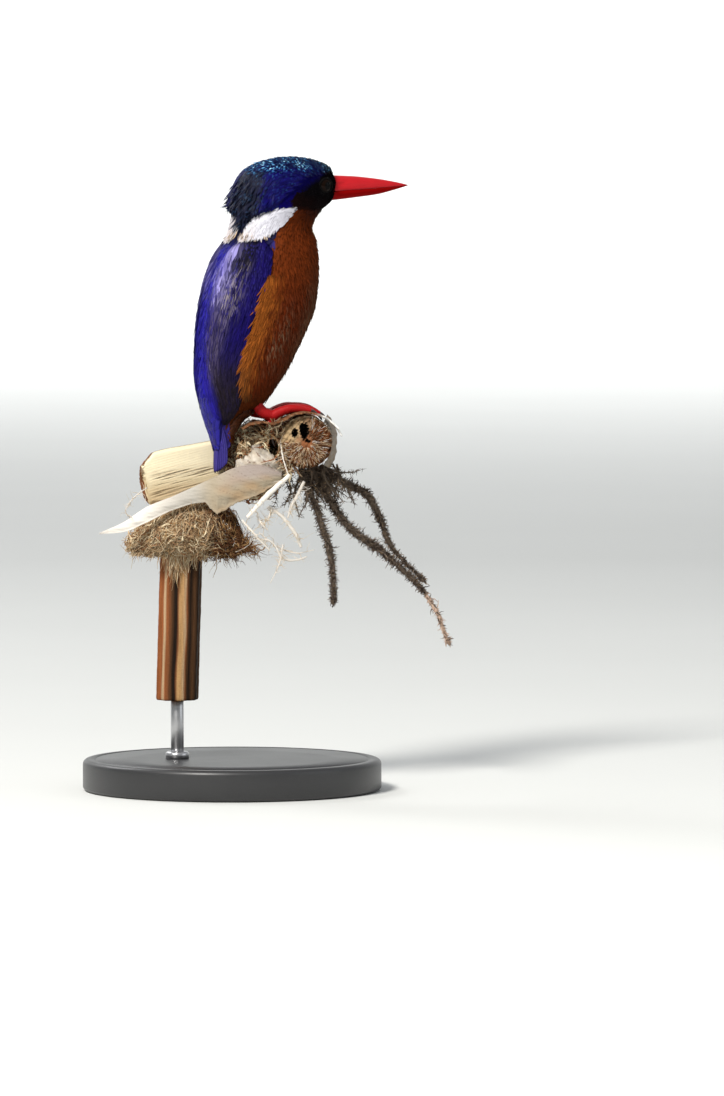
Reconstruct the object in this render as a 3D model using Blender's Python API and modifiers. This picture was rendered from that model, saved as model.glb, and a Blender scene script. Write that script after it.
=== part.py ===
"""Malachite kingfisher perched on a broken reed, life size, on a plain display stand.

Metres, +Z up. The bird faces +X, and its head is turned to its left.
The origin is the middle of the stand's underside. Run with blender --background --python part.py
"""
import math

import bmesh
import bpy
from mathutils import Matrix, Vector

MM = 0.001
GAP = 0.3            # clearance between neighbouring pieces; every size below is in millimetres
SAG = 0.2            # what flat facets lose between their corners on the crown

# The body is a stack of level ovals. Their ends are measured from the neck's upright axis.
NECK_X = 12.7
HEAD_TURN = 15.0     # degrees to the bird's left
TURN_FROM, TURN_TO = 167.0, 176.0
#           height   back  front  half width  egg (how much narrower in front)
BODY = [
    (110.0, -18.6, -12.6, 4.4, 0.00),
    (115.7, -21.3, -8.6, 7.2, 0.00),
    (119.4, -22.3, -2.7, 9.6, 0.00),
    (124.3, -22.9, 1.1, 11.7, 0.00),
    (130.5, -22.8, 5.2, 13.2, 0.00),
    (138.8, -22.1, 9.4, 14.3, 0.00),
    (146.8, -21.1, 13.1, 14.9, 0.00),
    (155.1, -19.6, 14.6, 14.8, 0.00),
    (163.1, -16.9, 14.8, 13.8, 0.00),
    (168.9, -14.0, 14.2, 12.5, 0.03),
    (172.6, -12.7, 13.3, 11.7, 0.06),
    (176.9, -11.8, 16.2, 11.2, 0.14),
    (181.2, -11.0, 22.0, 10.9, 0.26),
    (185.8, -9.5, 23.9, 10.4, 0.30),
]
CROWN_BASE = BODY[-1][0]     # the widest level of the crown, which is half an ellipsoid above it
CROWN_RISE = 7.6
HEAD_FROM, NECK_FROM, TAIL_TO = 177.5, 165.5, 112.4     # the levels that part head, neck, trunk and tail
AROUND = 24

TAIL = [
    (97.4, -18.4, -16.8, 2.4, 0.0),
    (98.6, -18.5, -16.6, 3.9, 0.0),
    (101.0, -18.4, -16.1, 4.8, 0.0),
    (105.0, -18.3, -15.0, 5.1, 0.0),
    (109.0, -18.8, -13.3, 5.0, 0.0),
    (112.1, -19.6, -10.6, 4.9, 0.0),
]

# Each folded wing is a patch over the body, bounded by two angles from the middle of the back.
#           height  inner  outer  thickness
WING = [
    (112.2, 62.0, 78.0, 0.8),
    (114.0, 51.0, 90.0, 0.9),
    (116.5, 43.0, 93.0, 1.0),
    (119.5, 37.0, 87.0, 1.1),
    (125.0, 27.0, 77.0, 1.3),
    (132.0, 19.0, 72.0, 1.6),
    (139.0, 16.0, 73.0, 1.8),
    (147.0, 17.0, 74.0, 2.0),
    (156.0, 20.0, 75.0, 2.1),
    (163.0, 25.0, 75.0, 1.9),
    (167.5, 31.0, 71.0, 1.5),
    (169.5, 41.0, 62.0, 1.0),
]
WING_RIM = 0.6

CREST_FRONT, CREST_NAPE = 189.2, 176.4     # height of the crest's edge over the bill and at the nape
CREST_THICK, CREST_TUFT = 1.2, 0.5         # over the crown, and what the nape tuft adds

#        reach  culmen  mouth  gonys  half width
BILL = [
    (19.0, 188.9, 183.8, 180.9, 3.6),
    (24.0, 188.7, 184.0, 181.1, 3.3),
    (32.0, 188.3, 184.3, 181.8, 2.7),
    (40.5, 187.4, 184.7, 182.7, 1.9),
    (46.3, 186.5, 185.0, 183.9, 1.15),
    (50.0, 185.8, 185.2, 184.8, 0.55),
    (51.2, 185.5, 185.25, 185.1, 0.28),
]

EYE_REACH, EYE_SIDE, EYE_HEIGHT, EYE_RADIUS = 14.6, 6.8, 185.8, 2.6

# The perch. The stub of reed under the feet lies nearly across the bird.
STUB_X, STUB_Z, STUB_RADIUS = 23.2, 107.4, 8.4      # its axis where it crosses the bird's middle
STUB_SKEW = 16.0
STUB_NEAR, STUB_FAR = 13.0, 14.0
FOOT_SIDE = 6.0
HIP = (5.6, 119.6)                                  # where a leg leaves the belly, along and up
TOES = [(-2.3, 0.92), (0.0, 1.0), (2.1, 0.8)]       # each front toe's spread and share of the full length

CANE_RADIUS, CANE_RIDGES, CANE_GROOVE = 6.6, 11, 0.45
CANE_FOOT = (-15.8, 6.0, 27.7)
CANE_TOP = (-14.3, 6.0, 77.0)
CLUMP = (-12.8, 5.0, 79.6)
CLUMP_SIZE = (18.5, 13.0, 8.6)
KNOT = (8.6, 3.5, 101.0)
KNOT_SIZE = (9.6, 9.5, 12.5)

#       along  bottom   top   depth
CULM = [
    (-26.9, 97.6, 99.8, 3.0),
    (-25.0, 88.8, 102.1, 7.5),
    (-23.0, 88.2, 104.2, 8.6),
    (-10.0, 88.8, 106.5, 9.3),
    (1.5, 90.4, 108.3, 8.6),
]
CULM_FRONT = 6.0
#         along   side  bottom   top
SHEATH = [
    (-43.5, -2.0, 79.6, 80.2),
    (-35.7, -3.0, 80.4, 83.5),
    (-28.7, -4.0, 83.3, 88.0),
    (-20.4, -5.0, 87.0, 91.2),
    (-11.4, -6.2, 88.8, 95.2),
    (-7.5, -6.8, 85.2, 96.9),
    (-1.6, -7.6, 88.3, 99.6),
    (6.2, -8.4, 91.2, 100.4),
    (13.0, -8.8, 95.6, 98.0),
]
SHEATH_THICK, SHEATH_BOW = 0.9, 1.3

#         along  side  height  radius
ROOTS = {
    "a": [(21.4, -3.0, 98.0, 1.3), (27.7, -4.5, 81.5, 1.1), (30.7, -5.0, 70.2, 0.9), (31.2, -5.5, 57.0, 0.5)],
    "b": [
        (26.2, 0.5, 97.0, 1.3), (36.7, -1.0, 81.5, 1.1), (48.4, -1.5, 72.6, 0.9),
        (60.0, -2.0, 62.8, 0.8), (65.2, -2.2, 55.4, 0.7), (70.4, -2.6, 43.6, 0.5),
    ],
    "c": [
        (30.2, 4.5, 97.0, 1.3), (38.4, 4.5, 93.6, 1.2), (46.0, 4.5, 89.6, 1.1), (50.4, 5.0, 82.0, 1.0),
        (54.6, 5.5, 73.0, 0.8), (65.4, 6.5, 62.6, 0.5),
    ],
}
PEG = [(1.2, -10.6, 84.4, 0.7), (8.0, -11.4, 91.6, 0.9), (15.2, -11.8, 97.7, 0.8)]

BASE_RADIUS, BASE_THICK, BASE_EDGE = 46.0, 9.5, 1.2
ROD_RADIUS = 2.0

COLOURS = {      # base colour, roughness, metallic
    "feather_blue": ((0.03, 0.03, 0.33), 0.5, 0.0),
    "feather_crown": ((0.02, 0.12, 0.25), 0.5, 0.0),
    "feather_rufous": ((0.35, 0.10, 0.02), 0.7, 0.0),
    "bill_red": ((0.55, 0.02, 0.015), 0.35, 0.0),
    "foot_red": ((0.50, 0.03, 0.02), 0.5, 0.0),
    "claw_dark": ((0.05, 0.03, 0.03), 0.4, 0.0),
    "eye_dark": ((0.02, 0.01, 0.008), 0.08, 0.0),
    "reed_brown": ((0.17, 0.07, 0.03), 0.5, 0.0),
    "reed_pale": ((0.75, 0.62, 0.38), 0.6, 0.0),
    "reed_fibre": ((0.28, 0.18, 0.10), 0.9, 0.0),
    "stand_black": ((0.02, 0.02, 0.02), 0.4, 0.0),
    "stand_steel": ((0.55, 0.55, 0.55), 0.3, 1.0),
}


def clear_scene():
    for old in list(bpy.data.objects):
        bpy.data.objects.remove(old)


def material(name):
    found = bpy.data.materials.get(name)
    if found:
        return found
    colour, roughness, metallic = COLOURS[name]
    made = bpy.data.materials.new(name)
    made.use_nodes = True
    shader = made.node_tree.nodes["Principled BSDF"]
    shader.inputs["Base Color"].default_value = (*colour, 1.0)
    shader.inputs["Roughness"].default_value = roughness
    shader.inputs["Metallic"].default_value = metallic
    return made


def collection(name):
    found = bpy.data.collections.get(name)
    if not found:
        found = bpy.data.collections.new(name)
        bpy.context.scene.collection.children.link(found)
    return found


def add_object(name, mesh, finish):
    obj = bpy.data.objects.new(name, mesh)
    collection("kingfisher").objects.link(obj)
    mesh.materials.clear()
    mesh.materials.append(material(finish))
    mesh.shade_smooth()
    mesh.set_sharp_from_angle(angle=math.radians(40))
    return obj


def make_cutter(obj):
    for home in list(obj.users_collection):
        home.objects.unlink(obj)
    collection("cutters").objects.link(obj)
    obj.hide_render = True
    obj.display_type = "WIRE"
    return obj


def loft(name, rings, finish):
    """A closed skin over rings of equally many points."""
    mesh = bmesh.new()
    levels = [[mesh.verts.new(point * MM) for point in ring] for ring in rings]
    for low, high in zip(levels, levels[1:]):
        for i in range(len(low)):
            j = (i + 1) % len(low)
            mesh.faces.new((low[i], low[j], high[j], high[i]))
    mesh.faces.new(reversed(levels[0]))
    mesh.faces.new(levels[-1])
    bmesh.ops.remove_doubles(mesh, verts=mesh.verts, dist=0.01 * MM)
    bmesh.ops.recalc_face_normals(mesh, faces=mesh.faces)
    bmesh.ops.triangulate(mesh, faces=[face for face in mesh.faces if len(face.verts) > 4])
    data = bpy.data.meshes.new(name)
    mesh.to_mesh(data)
    mesh.free()
    return add_object(name, data, finish)


def shell(name, inner, outer, finish):
    """A closed plate between two grids of points, inner and outer, which are joined round their rims."""
    rows, columns = len(outer), len(outer[0])
    mesh = bmesh.new()
    top = [[mesh.verts.new(point * MM) for point in row] for row in outer]
    under = [[mesh.verts.new(point * MM) for point in row] for row in inner]
    for i in range(rows - 1):
        for j in range(columns - 1):
            mesh.faces.new((top[i][j], top[i][j + 1], top[i + 1][j + 1], top[i + 1][j]))
            mesh.faces.new((under[i][j], under[i + 1][j], under[i + 1][j + 1], under[i][j + 1]))
    rim = [(0, j) for j in range(columns)] + [(i, columns - 1) for i in range(1, rows)]
    rim += [(rows - 1, j) for j in range(columns - 2, -1, -1)] + [(i, 0) for i in range(rows - 2, 0, -1)]
    for (i, j), (k, m) in zip(rim, rim[1:] + rim[:1]):
        mesh.faces.new((top[k][m], top[i][j], under[i][j], under[k][m]))
    bmesh.ops.remove_doubles(mesh, verts=mesh.verts, dist=0.01 * MM)
    bmesh.ops.recalc_face_normals(mesh, faces=mesh.faces)
    data = bpy.data.meshes.new(name)
    mesh.to_mesh(data)
    mesh.free()
    return add_object(name, data, finish)


def solid_from(source, name, finish):
    """A mesh object from a curve or metaball object, which is then removed."""
    bpy.context.view_layer.update()
    seen = source.evaluated_get(bpy.context.evaluated_depsgraph_get())
    data = bpy.data.meshes.new_from_object(seen)
    data.transform(source.matrix_world)
    bpy.data.objects.remove(source)
    welded = bmesh.new()
    welded.from_mesh(data)
    bmesh.ops.remove_doubles(welded, verts=welded.verts, dist=0.01 * MM)
    bmesh.ops.recalc_face_normals(welded, faces=welded.faces)
    welded.to_mesh(data)
    welded.free()
    return add_object(name, data, finish)


def tube(name, points, radii, finish, sides=1, steps=2):
    """A tapering round tube through the points, with closed ends."""
    line = bpy.data.curves.new(name, "CURVE")
    line.dimensions = "3D"
    line.resolution_u = steps
    line.bevel_depth = MM
    line.bevel_resolution = sides
    line.use_fill_caps = True
    spline = line.splines.new("BEZIER")
    spline.bezier_points.add(len(points) - 1)
    for knot, point, radius in zip(spline.bezier_points, points, radii):
        knot.co = Vector(point) * MM
        knot.radius = radius
        knot.handle_left_type = knot.handle_right_type = "AUTO"
    source = bpy.data.objects.new(name, line)
    bpy.context.scene.collection.objects.link(source)
    return solid_from(source, name, finish)


def boolean(target, other, operation):
    """Applies a Boolean at once, so that its result can itself be used in the next."""
    modifier = target.modifiers.new(operation, "BOOLEAN")
    modifier.operation = operation
    modifier.solver = "EXACT"
    modifier.object = other
    bpy.context.view_layer.update()
    seen = target.evaluated_get(bpy.context.evaluated_depsgraph_get())
    data = bpy.data.meshes.new_from_object(seen)
    target.modifiers.clear()
    target.data = data
    return target


def join(target, other):
    boolean(target, other, "UNION")
    bpy.data.objects.remove(other)
    return target


def cut_out(target, cutter):
    boolean(target, cutter, "DIFFERENCE")
    bpy.data.objects.remove(cutter)
    return target


def make_room(target, *neighbours, clear=GAP):
    """Cuts each neighbour, grown by the clearance, out of the target."""
    for neighbour in neighbours:
        grown = neighbour.data.copy()
        normals = [Vector(vertex.normal) for vertex in grown.vertices]
        for vertex, normal in zip(grown.vertices, normals):
            vertex.co += normal * clear * MM
        cutter = bpy.data.objects.new(neighbour.name + "_room", grown)
        make_cutter(cutter)
        cut_out(target, cutter)
    return target


def between(table, height):
    """The table's columns at a height: a cubic through its rows, with each row's slope from its neighbours."""
    last = len(table) - 1
    i = next((k for k in range(last) if height <= table[k + 1][0]), last - 1)
    before, low, high, after = (table[max(0, min(last, i + k))] for k in (-1, 0, 1, 2))
    span = high[0] - low[0]
    share = max(0.0, min(1.0, (height - low[0]) / span))
    found = []
    for a, b, c, d in zip(before[1:], low[1:], high[1:], after[1:]):
        rise = (c - a) / (high[0] - before[0]) * span
        fall = (d - b) / (after[0] - low[0]) * span
        found.append(
            b + share * (rise + share * (3 * (c - b) - 2 * rise - fall + share * (2 * (b - c) + rise + fall)))
        )
    return found


def ease(value, start, end):
    share = max(0.0, min(1.0, (value - start) / (end - start)))
    return share * share * (3 - 2 * share)


def turned(reach, side, height):
    """A place from its reach before the neck's axis and its side to the left, turned with the head."""
    turn = math.radians(HEAD_TURN * ease(height, TURN_FROM, TURN_TO))
    return Vector((
        NECK_X + reach * math.cos(turn) - side * math.sin(turn),
        reach * math.sin(turn) + side * math.cos(turn),
        height,
    ))


def on_body(height, angle, grow=0.0, table=BODY):
    """The body's surface at a height and an angle from the breast (90 is the bird's left), grown outwards."""
    back, front, half_width, egg = between(table, min(height, CROWN_BASE))
    half_length = (front - back) / 2 + grow
    half_width += grow
    lift = max(0.0, (height - CROWN_BASE) / CROWN_RISE)
    narrow = math.sqrt(max(0.0, 1 - lift * lift))
    if lift > 0:
        height = CROWN_BASE + (CROWN_RISE + grow) * lift
    cosine, sine = math.cos(math.radians(angle)), math.sin(math.radians(angle))
    reach = (front + back) / 2 + half_length * narrow * cosine
    side = half_width * narrow * sine * (1 - egg * cosine)
    return turned(reach, side, height)


def ring(height, table=BODY, grow=0.0):
    return [on_body(height, 360 * i / AROUND, grow, table) for i in range(AROUND)]


def steps_between(low, high, count):
    return [low + (high - low) * i / count for i in range(count + 1)]


def crown_levels(count):
    """Heights up the crown at equal turns of its quarter ellipse, stopping just short of the top."""
    return [CROWN_BASE + CROWN_RISE * math.sin(math.pi / 2 * i / count) for i in range(1, count)] + [
        CROWN_BASE + CROWN_RISE * 0.9995
    ]


def make_trunk():
    return loft("trunk", [ring(z) for z in steps_between(TAIL_TO + GAP, NECK_FROM - GAP, 15)], "feather_rufous")


def make_neck():
    return loft("neck", [ring(z) for z in steps_between(NECK_FROM, HEAD_FROM - GAP, 5)], "feather_rufous")


def make_head():
    levels = steps_between(HEAD_FROM, CROWN_BASE, 5) + crown_levels(6)
    return loft("head", [ring(z) for z in levels], "feather_rufous")


def make_tail():
    top = TAIL[-1][0]
    levels = [TAIL[0][0], 98.0, 99.2] + steps_between(101.0, top, 5)
    return loft("tail", [ring(z, TAIL) for z in levels], "feather_blue")


def crest_point(angle, share, grow):
    """From the crest's edge (share 0) up to the middle of the crown (share 1)."""
    behind = ease(abs(180 - angle), 105, 20)
    start = (CREST_FRONT + (CREST_NAPE - CREST_FRONT) * behind - CROWN_BASE) / CROWN_RISE
    if start > 0:
        start = math.asin(start)
    climb = start + share * (math.pi / 2 - start)
    height = CROWN_BASE + CROWN_RISE * (climb if climb < 0 else math.sin(climb))
    if grow > GAP + SAG:
        grow += CREST_TUFT * behind * math.sin(math.pi * min(1.0, 0.25 + 0.75 * share))
    return on_body(height, angle, grow)


def make_crest():
    """A cap of longer feathers from the forehead to the nape, deepest in its tuft at the back."""
    angles = [360 * i / AROUND for i in range(AROUND)]
    inner = [[crest_point(a, i / 7, GAP + SAG) for a in angles] for i in range(7, -1, -1)]
    outer = [[crest_point(a, i / 7, GAP + CREST_THICK) for a in angles] for i in range(8)]
    return loft("crest", inner + outer, "feather_crown")


def make_wing(name, side):
    """A folded wing: thickest down its middle, with a thin rim all round."""
    rows, columns = 16, 7
    inner, outer = [], []
    for i in range(rows + 1):
        height = WING[0][0] + (WING[-1][0] - WING[0][0]) * i / rows
        near, far, thick = between(WING, height)
        inner_row, outer_row = [], []
        for j in range(columns + 1):
            share = j / columns
            angle = 180 + side * (near + (far - near) * share)
            depth = WING_RIM + (thick - WING_RIM) * math.sin(math.pi * share) ** 0.6
            inner_row.append(on_body(height, angle, GAP))
            outer_row.append(on_body(height, angle, GAP + depth))
        inner.append(inner_row)
        outer.append(outer_row)
    return shell(name, inner, outer, "feather_blue")


def bill_arc(row, upper, grow=0.0):
    """Half of one section of the bill, over the culmen or under the gonys, from its left to its right."""
    reach, culmen, mouth, gonys, half_width = row
    split = (0 if grow else GAP / 2) * min(1.0, half_width) * (1 if upper else -1)
    rise = culmen + grow - mouth if upper else gonys - grow - mouth
    arc = []
    for k in range(9):
        turn = math.pi * k / 8
        height = mouth + split + (rise - split) * math.sin(turn) ** 0.85
        arc.append(turned(reach, (half_width + grow) * math.cos(turn), height))
    return arc


def bill_half(name, upper):
    rings = []
    for row in BILL:
        arc = bill_arc(row, upper)
        rings.append(arc + [arc[-1].lerp(arc[0], share) for share in (1 / 3, 2 / 3)])
    return loft(name, rings, "bill_red")


def bill_room():
    """What the two halves of the bill take out of the face, with their clearance."""
    rings = [bill_arc(row, True, GAP)[:-1] + bill_arc(row, False, GAP)[:0:-1] for row in BILL[:4]]
    first = BILL[0]
    ahead = turned(first[0], 0, first[1]) - turned(first[0] + GAP, 0, first[1])
    rings[0] = [point + ahead for point in rings[0]]
    return make_cutter(loft("bill_room", rings, "bill_red"))


def make_eye(name, side):
    centre = turned(EYE_REACH, side * EYE_SIDE, EYE_HEIGHT)
    return ball(name, centre, (EYE_RADIUS,) * 3, "eye_dark", 14, 8)


def ball(name, centre, size, finish, segments, rings):
    bpy.ops.mesh.primitive_uv_sphere_add(segments=segments, ring_count=rings, radius=MM)
    made = bpy.context.object
    data = made.data
    bpy.data.objects.remove(made)
    data.transform(Matrix.Translation(Vector(centre) * MM) @ Matrix.Diagonal((*size, 1.0)))
    return add_object(name, data, finish)


def cylinder(name, start, end, radius, finish, sides=32):
    start, end = Vector(start), Vector(end)
    bpy.ops.mesh.primitive_cylinder_add(vertices=sides, radius=radius * MM, depth=(end - start).length * MM)
    made = bpy.context.object
    data = made.data
    bpy.data.objects.remove(made)
    upright = (end - start).to_track_quat("Z", "Y").to_matrix().to_4x4()
    data.transform(Matrix.Translation((start + end) / 2 * MM) @ upright)
    return add_object(name, data, finish)


def stub_axis(side):
    """The stub's axis at a distance to the bird's left."""
    return Vector((STUB_X + side * math.tan(math.radians(STUB_SKEW)), side, STUB_Z))


def over_stub(side, along, above):
    return stub_axis(side) + Vector((along, 0, above))


def make_leg(name, side):
    """A short shank, three front toes lying over the stub and a hind toe behind it.

    Also gives the socket that the shank needs in the belly, and the hollow that the hind toe
    needs in the debris behind the stub.
    """
    middle = side * FOOT_SIDE
    ankle = over_stub(middle, -10.6, 7.4)
    shank = [Vector((HIP[0], middle * 0.92, HIP[1])), Vector((HIP[0] + 2.3, middle, 116.6)), ankle]
    thick = [1.5, 1.2, 1.35]
    leg = tube(name, shank, thick, "foot_red", 2)
    shank[0] += (shank[0] - shank[1]).normalized() * GAP
    socket = make_cutter(tube("socket", shank, [radius + GAP + 0.1 for radius in thick], "foot_red", 2))
    for number, (spread, length) in enumerate(TOES, 1):
        path = []
        for along, above, out in ((-10.4, 7.5, 0.15), (-7.8, 8.9, 0.5), (-3.4, 10.6, 0.9), (1.2, 10.2, 1.0), (5.0, 8.7, 1.1)):
            path.append(over_stub(middle + side * spread * out, -10.4 + (along + 10.4) * length, above))
        if length < 0.9:
            path[-1].z += 1.0
        join(leg, tube("toe", path, [1.2, 1.15, 1.1, 1.05, 0.8], "foot_red", 1))
        make_claw(f"{name.replace('leg', 'claw')}_{number}", path, Vector((0.25, 0, -0.97)))
    path = [over_stub(middle, *at) for at in ((-10.6, 7.3), (-11.2, 5.0), (-10.9, 1.8))]
    path[2].y += side * 0.6
    join(leg, tube("toe", path, [1.2, 1.0, 0.8], "foot_red", 1))
    hook = Vector((0.5, 0, -0.87))
    make_claw(f"{name.replace('leg', 'claw')}_4", path, hook)
    hollow = path[:2] + [path[2] + hook * 4]
    return socket, make_cutter(tube("hollow", hollow, [1.8, 1.7, 1.7], "reed_fibre", 1))


def make_claw(name, toe, hook):
    """A small hooked claw that carries on from the toe's end."""
    ahead = (toe[-1] - toe[-2]).normalized()
    start = toe[-1] + ahead * GAP
    middle = start + ahead * 1.3 + hook * 0.35
    return tube(name, [start, middle, middle + ahead * 0.5 + hook * 1.1], [0.6, 0.42, 0.12], "claw_dark", 1, 2)


def make_stub():
    near, far = stub_axis(-STUB_NEAR), stub_axis(STUB_FAR)
    stub = cylinder("perch_stub", near, far, STUB_RADIUS, "reed_brown")
    inward = (far - near).normalized()
    for across, above, radius, depth in ((-1.0, 3.1, 1.5, 7.0), (-4.2, 3.0, 0.9, 5.0)):
        mouth = near + Vector((across, 0, above))
        bore = make_cutter(cylinder("bore", mouth - inward * 3, mouth + inward * depth, radius, "reed_brown", 12))
        cut_out(stub, bore)
    return stub


def make_lump(name, centre, size, finish, phase):
    """An uneven rounded mass: a ball with shallow waves over it."""
    lump = ball(name, centre, size, finish, 20, 11)
    middle = Vector(centre) * MM
    for vertex in lump.data.vertices:
        ray = vertex.co - middle
        turn = math.atan2(ray.y / size[1], ray.x / size[0])
        rise = ray.z / (size[2] * MM)
        wave = math.sin(3 * turn + phase) * (1 - rise * rise) + 0.7 * math.sin(5 * turn + 4 * rise - phase)
        vertex.co = middle + ray * (1 + 0.06 * wave)
    return lump


def make_culm():
    """A split length of thick reed: flat on the bird's right, round on its left."""
    rings = []
    for along, bottom, top, depth in CULM:
        middle, half = (bottom + top) / 2, (top - bottom) / 2
        section = []
        for k in range(13):
            turn = math.pi * k / 12
            section.append(Vector((along, CULM_FRONT + depth * math.sin(turn), middle - half * math.cos(turn))))
        rings.append(section)
    return loft("perch_culm", rings, "reed_pale")


def make_sheath():
    """A torn strip of dry leaf sheath, bowed across its width."""
    inner, outer = [], []
    first, last = SHEATH[0][0], SHEATH[-1][0]
    for i in range(17):
        along = first + (last - first) * i / 16
        side, bottom, top = between(SHEATH, along)
        inner_row, outer_row = [], []
        for j in range(6):
            share = j / 5
            bow = SHEATH_BOW * math.sin(math.pi * share) * (top - bottom) / 10
            point = Vector((along, side - bow, bottom + (top - bottom) * share))
            outer_row.append(point)
            inner_row.append(point + Vector((0, SHEATH_THICK, 0)))
        inner.append(inner_row)
        outer.append(outer_row)
    return shell("perch_sheath", inner, outer, "reed_pale")


def make_cane():
    """A ridged upright cane."""
    foot, top = Vector(CANE_FOOT), Vector(CANE_TOP)
    sides = CANE_RIDGES * 4
    rings = []
    for share in (0.0, 0.33, 0.67, 1.0):
        centre = foot.lerp(top, share)
        section = []
        for i in range(sides):
            turn = 2 * math.pi * i / sides
            radius = CANE_RADIUS - CANE_GROOVE * (0.5 - 0.5 * math.cos(CANE_RIDGES * turn))
            section.append(centre + Vector((radius * math.cos(turn), radius * math.sin(turn), 0)))
        rings.append(section)
    return loft("perch_cane", rings, "reed_brown")


def make_base():
    base = cylinder("stand_base", (0, 0, 0), (0, 0, BASE_THICK), BASE_RADIUS, "stand_black", 40)
    rim = base.modifiers.new("rim", "BEVEL")
    rim.width = BASE_EDGE * MM
    rim.segments = 2
    rim.limit_method = "ANGLE"
    rim.angle_limit = math.radians(60)
    return base


def build_bird():
    trunk, neck, head, tail = make_trunk(), make_neck(), make_head(), make_tail()
    wings = [make_wing("wing_left", -1), make_wing("wing_right", 1)]
    crest = make_crest()
    eyes = [make_eye("eye_left", 1), make_eye("eye_right", -1)]
    bill_half("bill_upper", True)
    bill_half("bill_lower", False)
    cut_out(head, bill_room())
    make_room(head, *eyes)
    hollows = []
    for name, side in (("leg_left", 1), ("leg_right", -1)):
        socket, hollow = make_leg(name, side)
        cut_out(trunk, socket)
        hollows.append(hollow)
    return hollows


def build_perch(hollows):
    stub, culm, sheath, cane = make_stub(), make_culm(), make_sheath(), make_cane()
    clump = make_lump("perch_clump", CLUMP, CLUMP_SIZE, "reed_fibre", 0.6)
    knot = make_lump("perch_knot", KNOT, KNOT_SIZE, "reed_fibre", 2.0)
    peg = tube("perch_peg", [p[:3] for p in PEG], [p[3] for p in PEG], "reed_pale", 1)
    for key, path in ROOTS.items():
        tube(f"perch_root_{key}", [p[:3] for p in path], [p[3] for p in path], "reed_fibre", 1)
    make_room(clump, culm, sheath, cane)
    make_room(knot, stub, culm, sheath, peg, clump)
    for hollow in hollows:
        cut_out(knot, hollow)


def build_stand():
    make_base()
    cane_foot = Vector(CANE_FOOT)
    rod_foot = Vector((cane_foot.x, cane_foot.y, BASE_THICK + GAP))
    cylinder("stand_rod", rod_foot, cane_foot - Vector((0, 0, GAP)), ROD_RADIUS, "stand_steel", 24)


clear_scene()
build_perch(build_bird())
build_stand()
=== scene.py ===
import math
import bpy
import numpy as np
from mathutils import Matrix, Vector


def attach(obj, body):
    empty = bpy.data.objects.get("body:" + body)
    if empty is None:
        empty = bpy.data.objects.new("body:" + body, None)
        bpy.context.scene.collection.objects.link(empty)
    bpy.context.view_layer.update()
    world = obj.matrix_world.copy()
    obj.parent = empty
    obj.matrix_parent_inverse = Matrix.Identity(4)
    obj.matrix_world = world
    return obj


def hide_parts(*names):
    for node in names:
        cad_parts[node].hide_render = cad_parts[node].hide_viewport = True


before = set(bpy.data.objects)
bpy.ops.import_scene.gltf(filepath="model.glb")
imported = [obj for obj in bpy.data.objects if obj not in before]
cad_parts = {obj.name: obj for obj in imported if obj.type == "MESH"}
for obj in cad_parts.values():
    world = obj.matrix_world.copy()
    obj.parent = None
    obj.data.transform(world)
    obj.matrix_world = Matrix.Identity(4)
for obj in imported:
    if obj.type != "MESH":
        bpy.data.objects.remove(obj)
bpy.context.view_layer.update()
print("stage: frame loaded")

mm = 0.001    # shapes are worked out in millimetres and put into the meshes in metres
rng = np.random.default_rng(41)


# camera, floor and light

view = {"azimuth": -20.0, "elevation": 3.5, "lens": 300.0, "frameHeight": 337.2, "lookAcross": 40.0, "lookUp": 74.46}
studio = {
    "floorTone": (0.74, 0.75, 0.73), "floorShade": (0.71, 0.72, 0.70),
    "floorSize": 6.0, "cove": 5.0, "floorDrop": 0.15,
    "sky": (0.84, 0.86, 0.90), "skyPower": 0.50,
    # name, size in metres, power in watts, place, tint
    "lights": [
        ("keyLight", 0.40, 34.0, (-0.95, -0.85, 1.20), (1.0, 0.97, 0.92)),
        ("fillLight", 0.9, 2.0, (1.1, -0.8, 0.5), (0.92, 0.96, 1.0)),
        ("rimLight", 0.6, 7.0, (-0.5, 1.2, 1.1), (1.0, 1.0, 1.0)),
    ],
    # size, power, place and target
    "wallLight": (4.0, 520.0, (1.2, 3.6, 4.6), (3.3, 9.5, 1.0)),
}


def addMesh(name, points, faceSizes, faceCorners):
    # points in millimetres; the faces' corners run one after another, with their counts in faceSizes
    mesh = bpy.data.meshes.new(name)
    mesh.vertices.add(len(points))
    mesh.vertices.foreach_set("co", (np.asarray(points, float) * mm).ravel())
    mesh.loops.add(len(faceCorners))
    mesh.loops.foreach_set("vertex_index", np.asarray(faceCorners, np.int32))
    mesh.polygons.add(len(faceSizes))
    mesh.polygons.foreach_set("loop_start", np.r_[0, np.cumsum(faceSizes)[:-1]].astype(np.int32))
    mesh.polygons.foreach_set("use_smooth", np.ones(len(faceSizes), bool))
    mesh.update(calc_edges=True)
    mesh.validate()
    piece = bpy.data.objects.new(name, mesh)
    bpy.context.scene.collection.objects.link(piece)
    return piece


def addMany(name, points, faceSizes, faceCorners):
    # many forms of one build in one mesh: points is form x point x 3, and the faces are those of one form
    count, each = points.shape[:2]
    corners = np.tile(faceCorners, (count, 1)) + (np.arange(count) * each)[:, None]
    return addMesh(name, points.reshape(-1, 3), np.tile(faceSizes, count), corners.ravel())


def setPointData(piece, name, values):
    values = np.asarray(values, float)
    kind = "FLOAT" if values.ndim == 1 else "FLOAT_COLOR"
    if values.ndim == 2:
        values = np.c_[values, np.ones(len(values))]
    data = piece.data.attributes.new(name, kind, "POINT").data
    data.foreach_set("value" if kind == "FLOAT" else "color", values.ravel().astype(np.float32))


def cornerPoints(piece):
    corner = np.empty(len(piece.data.loops), np.int32)
    piece.data.loops.foreach_get("vertex_index", corner)
    return corner


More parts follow.
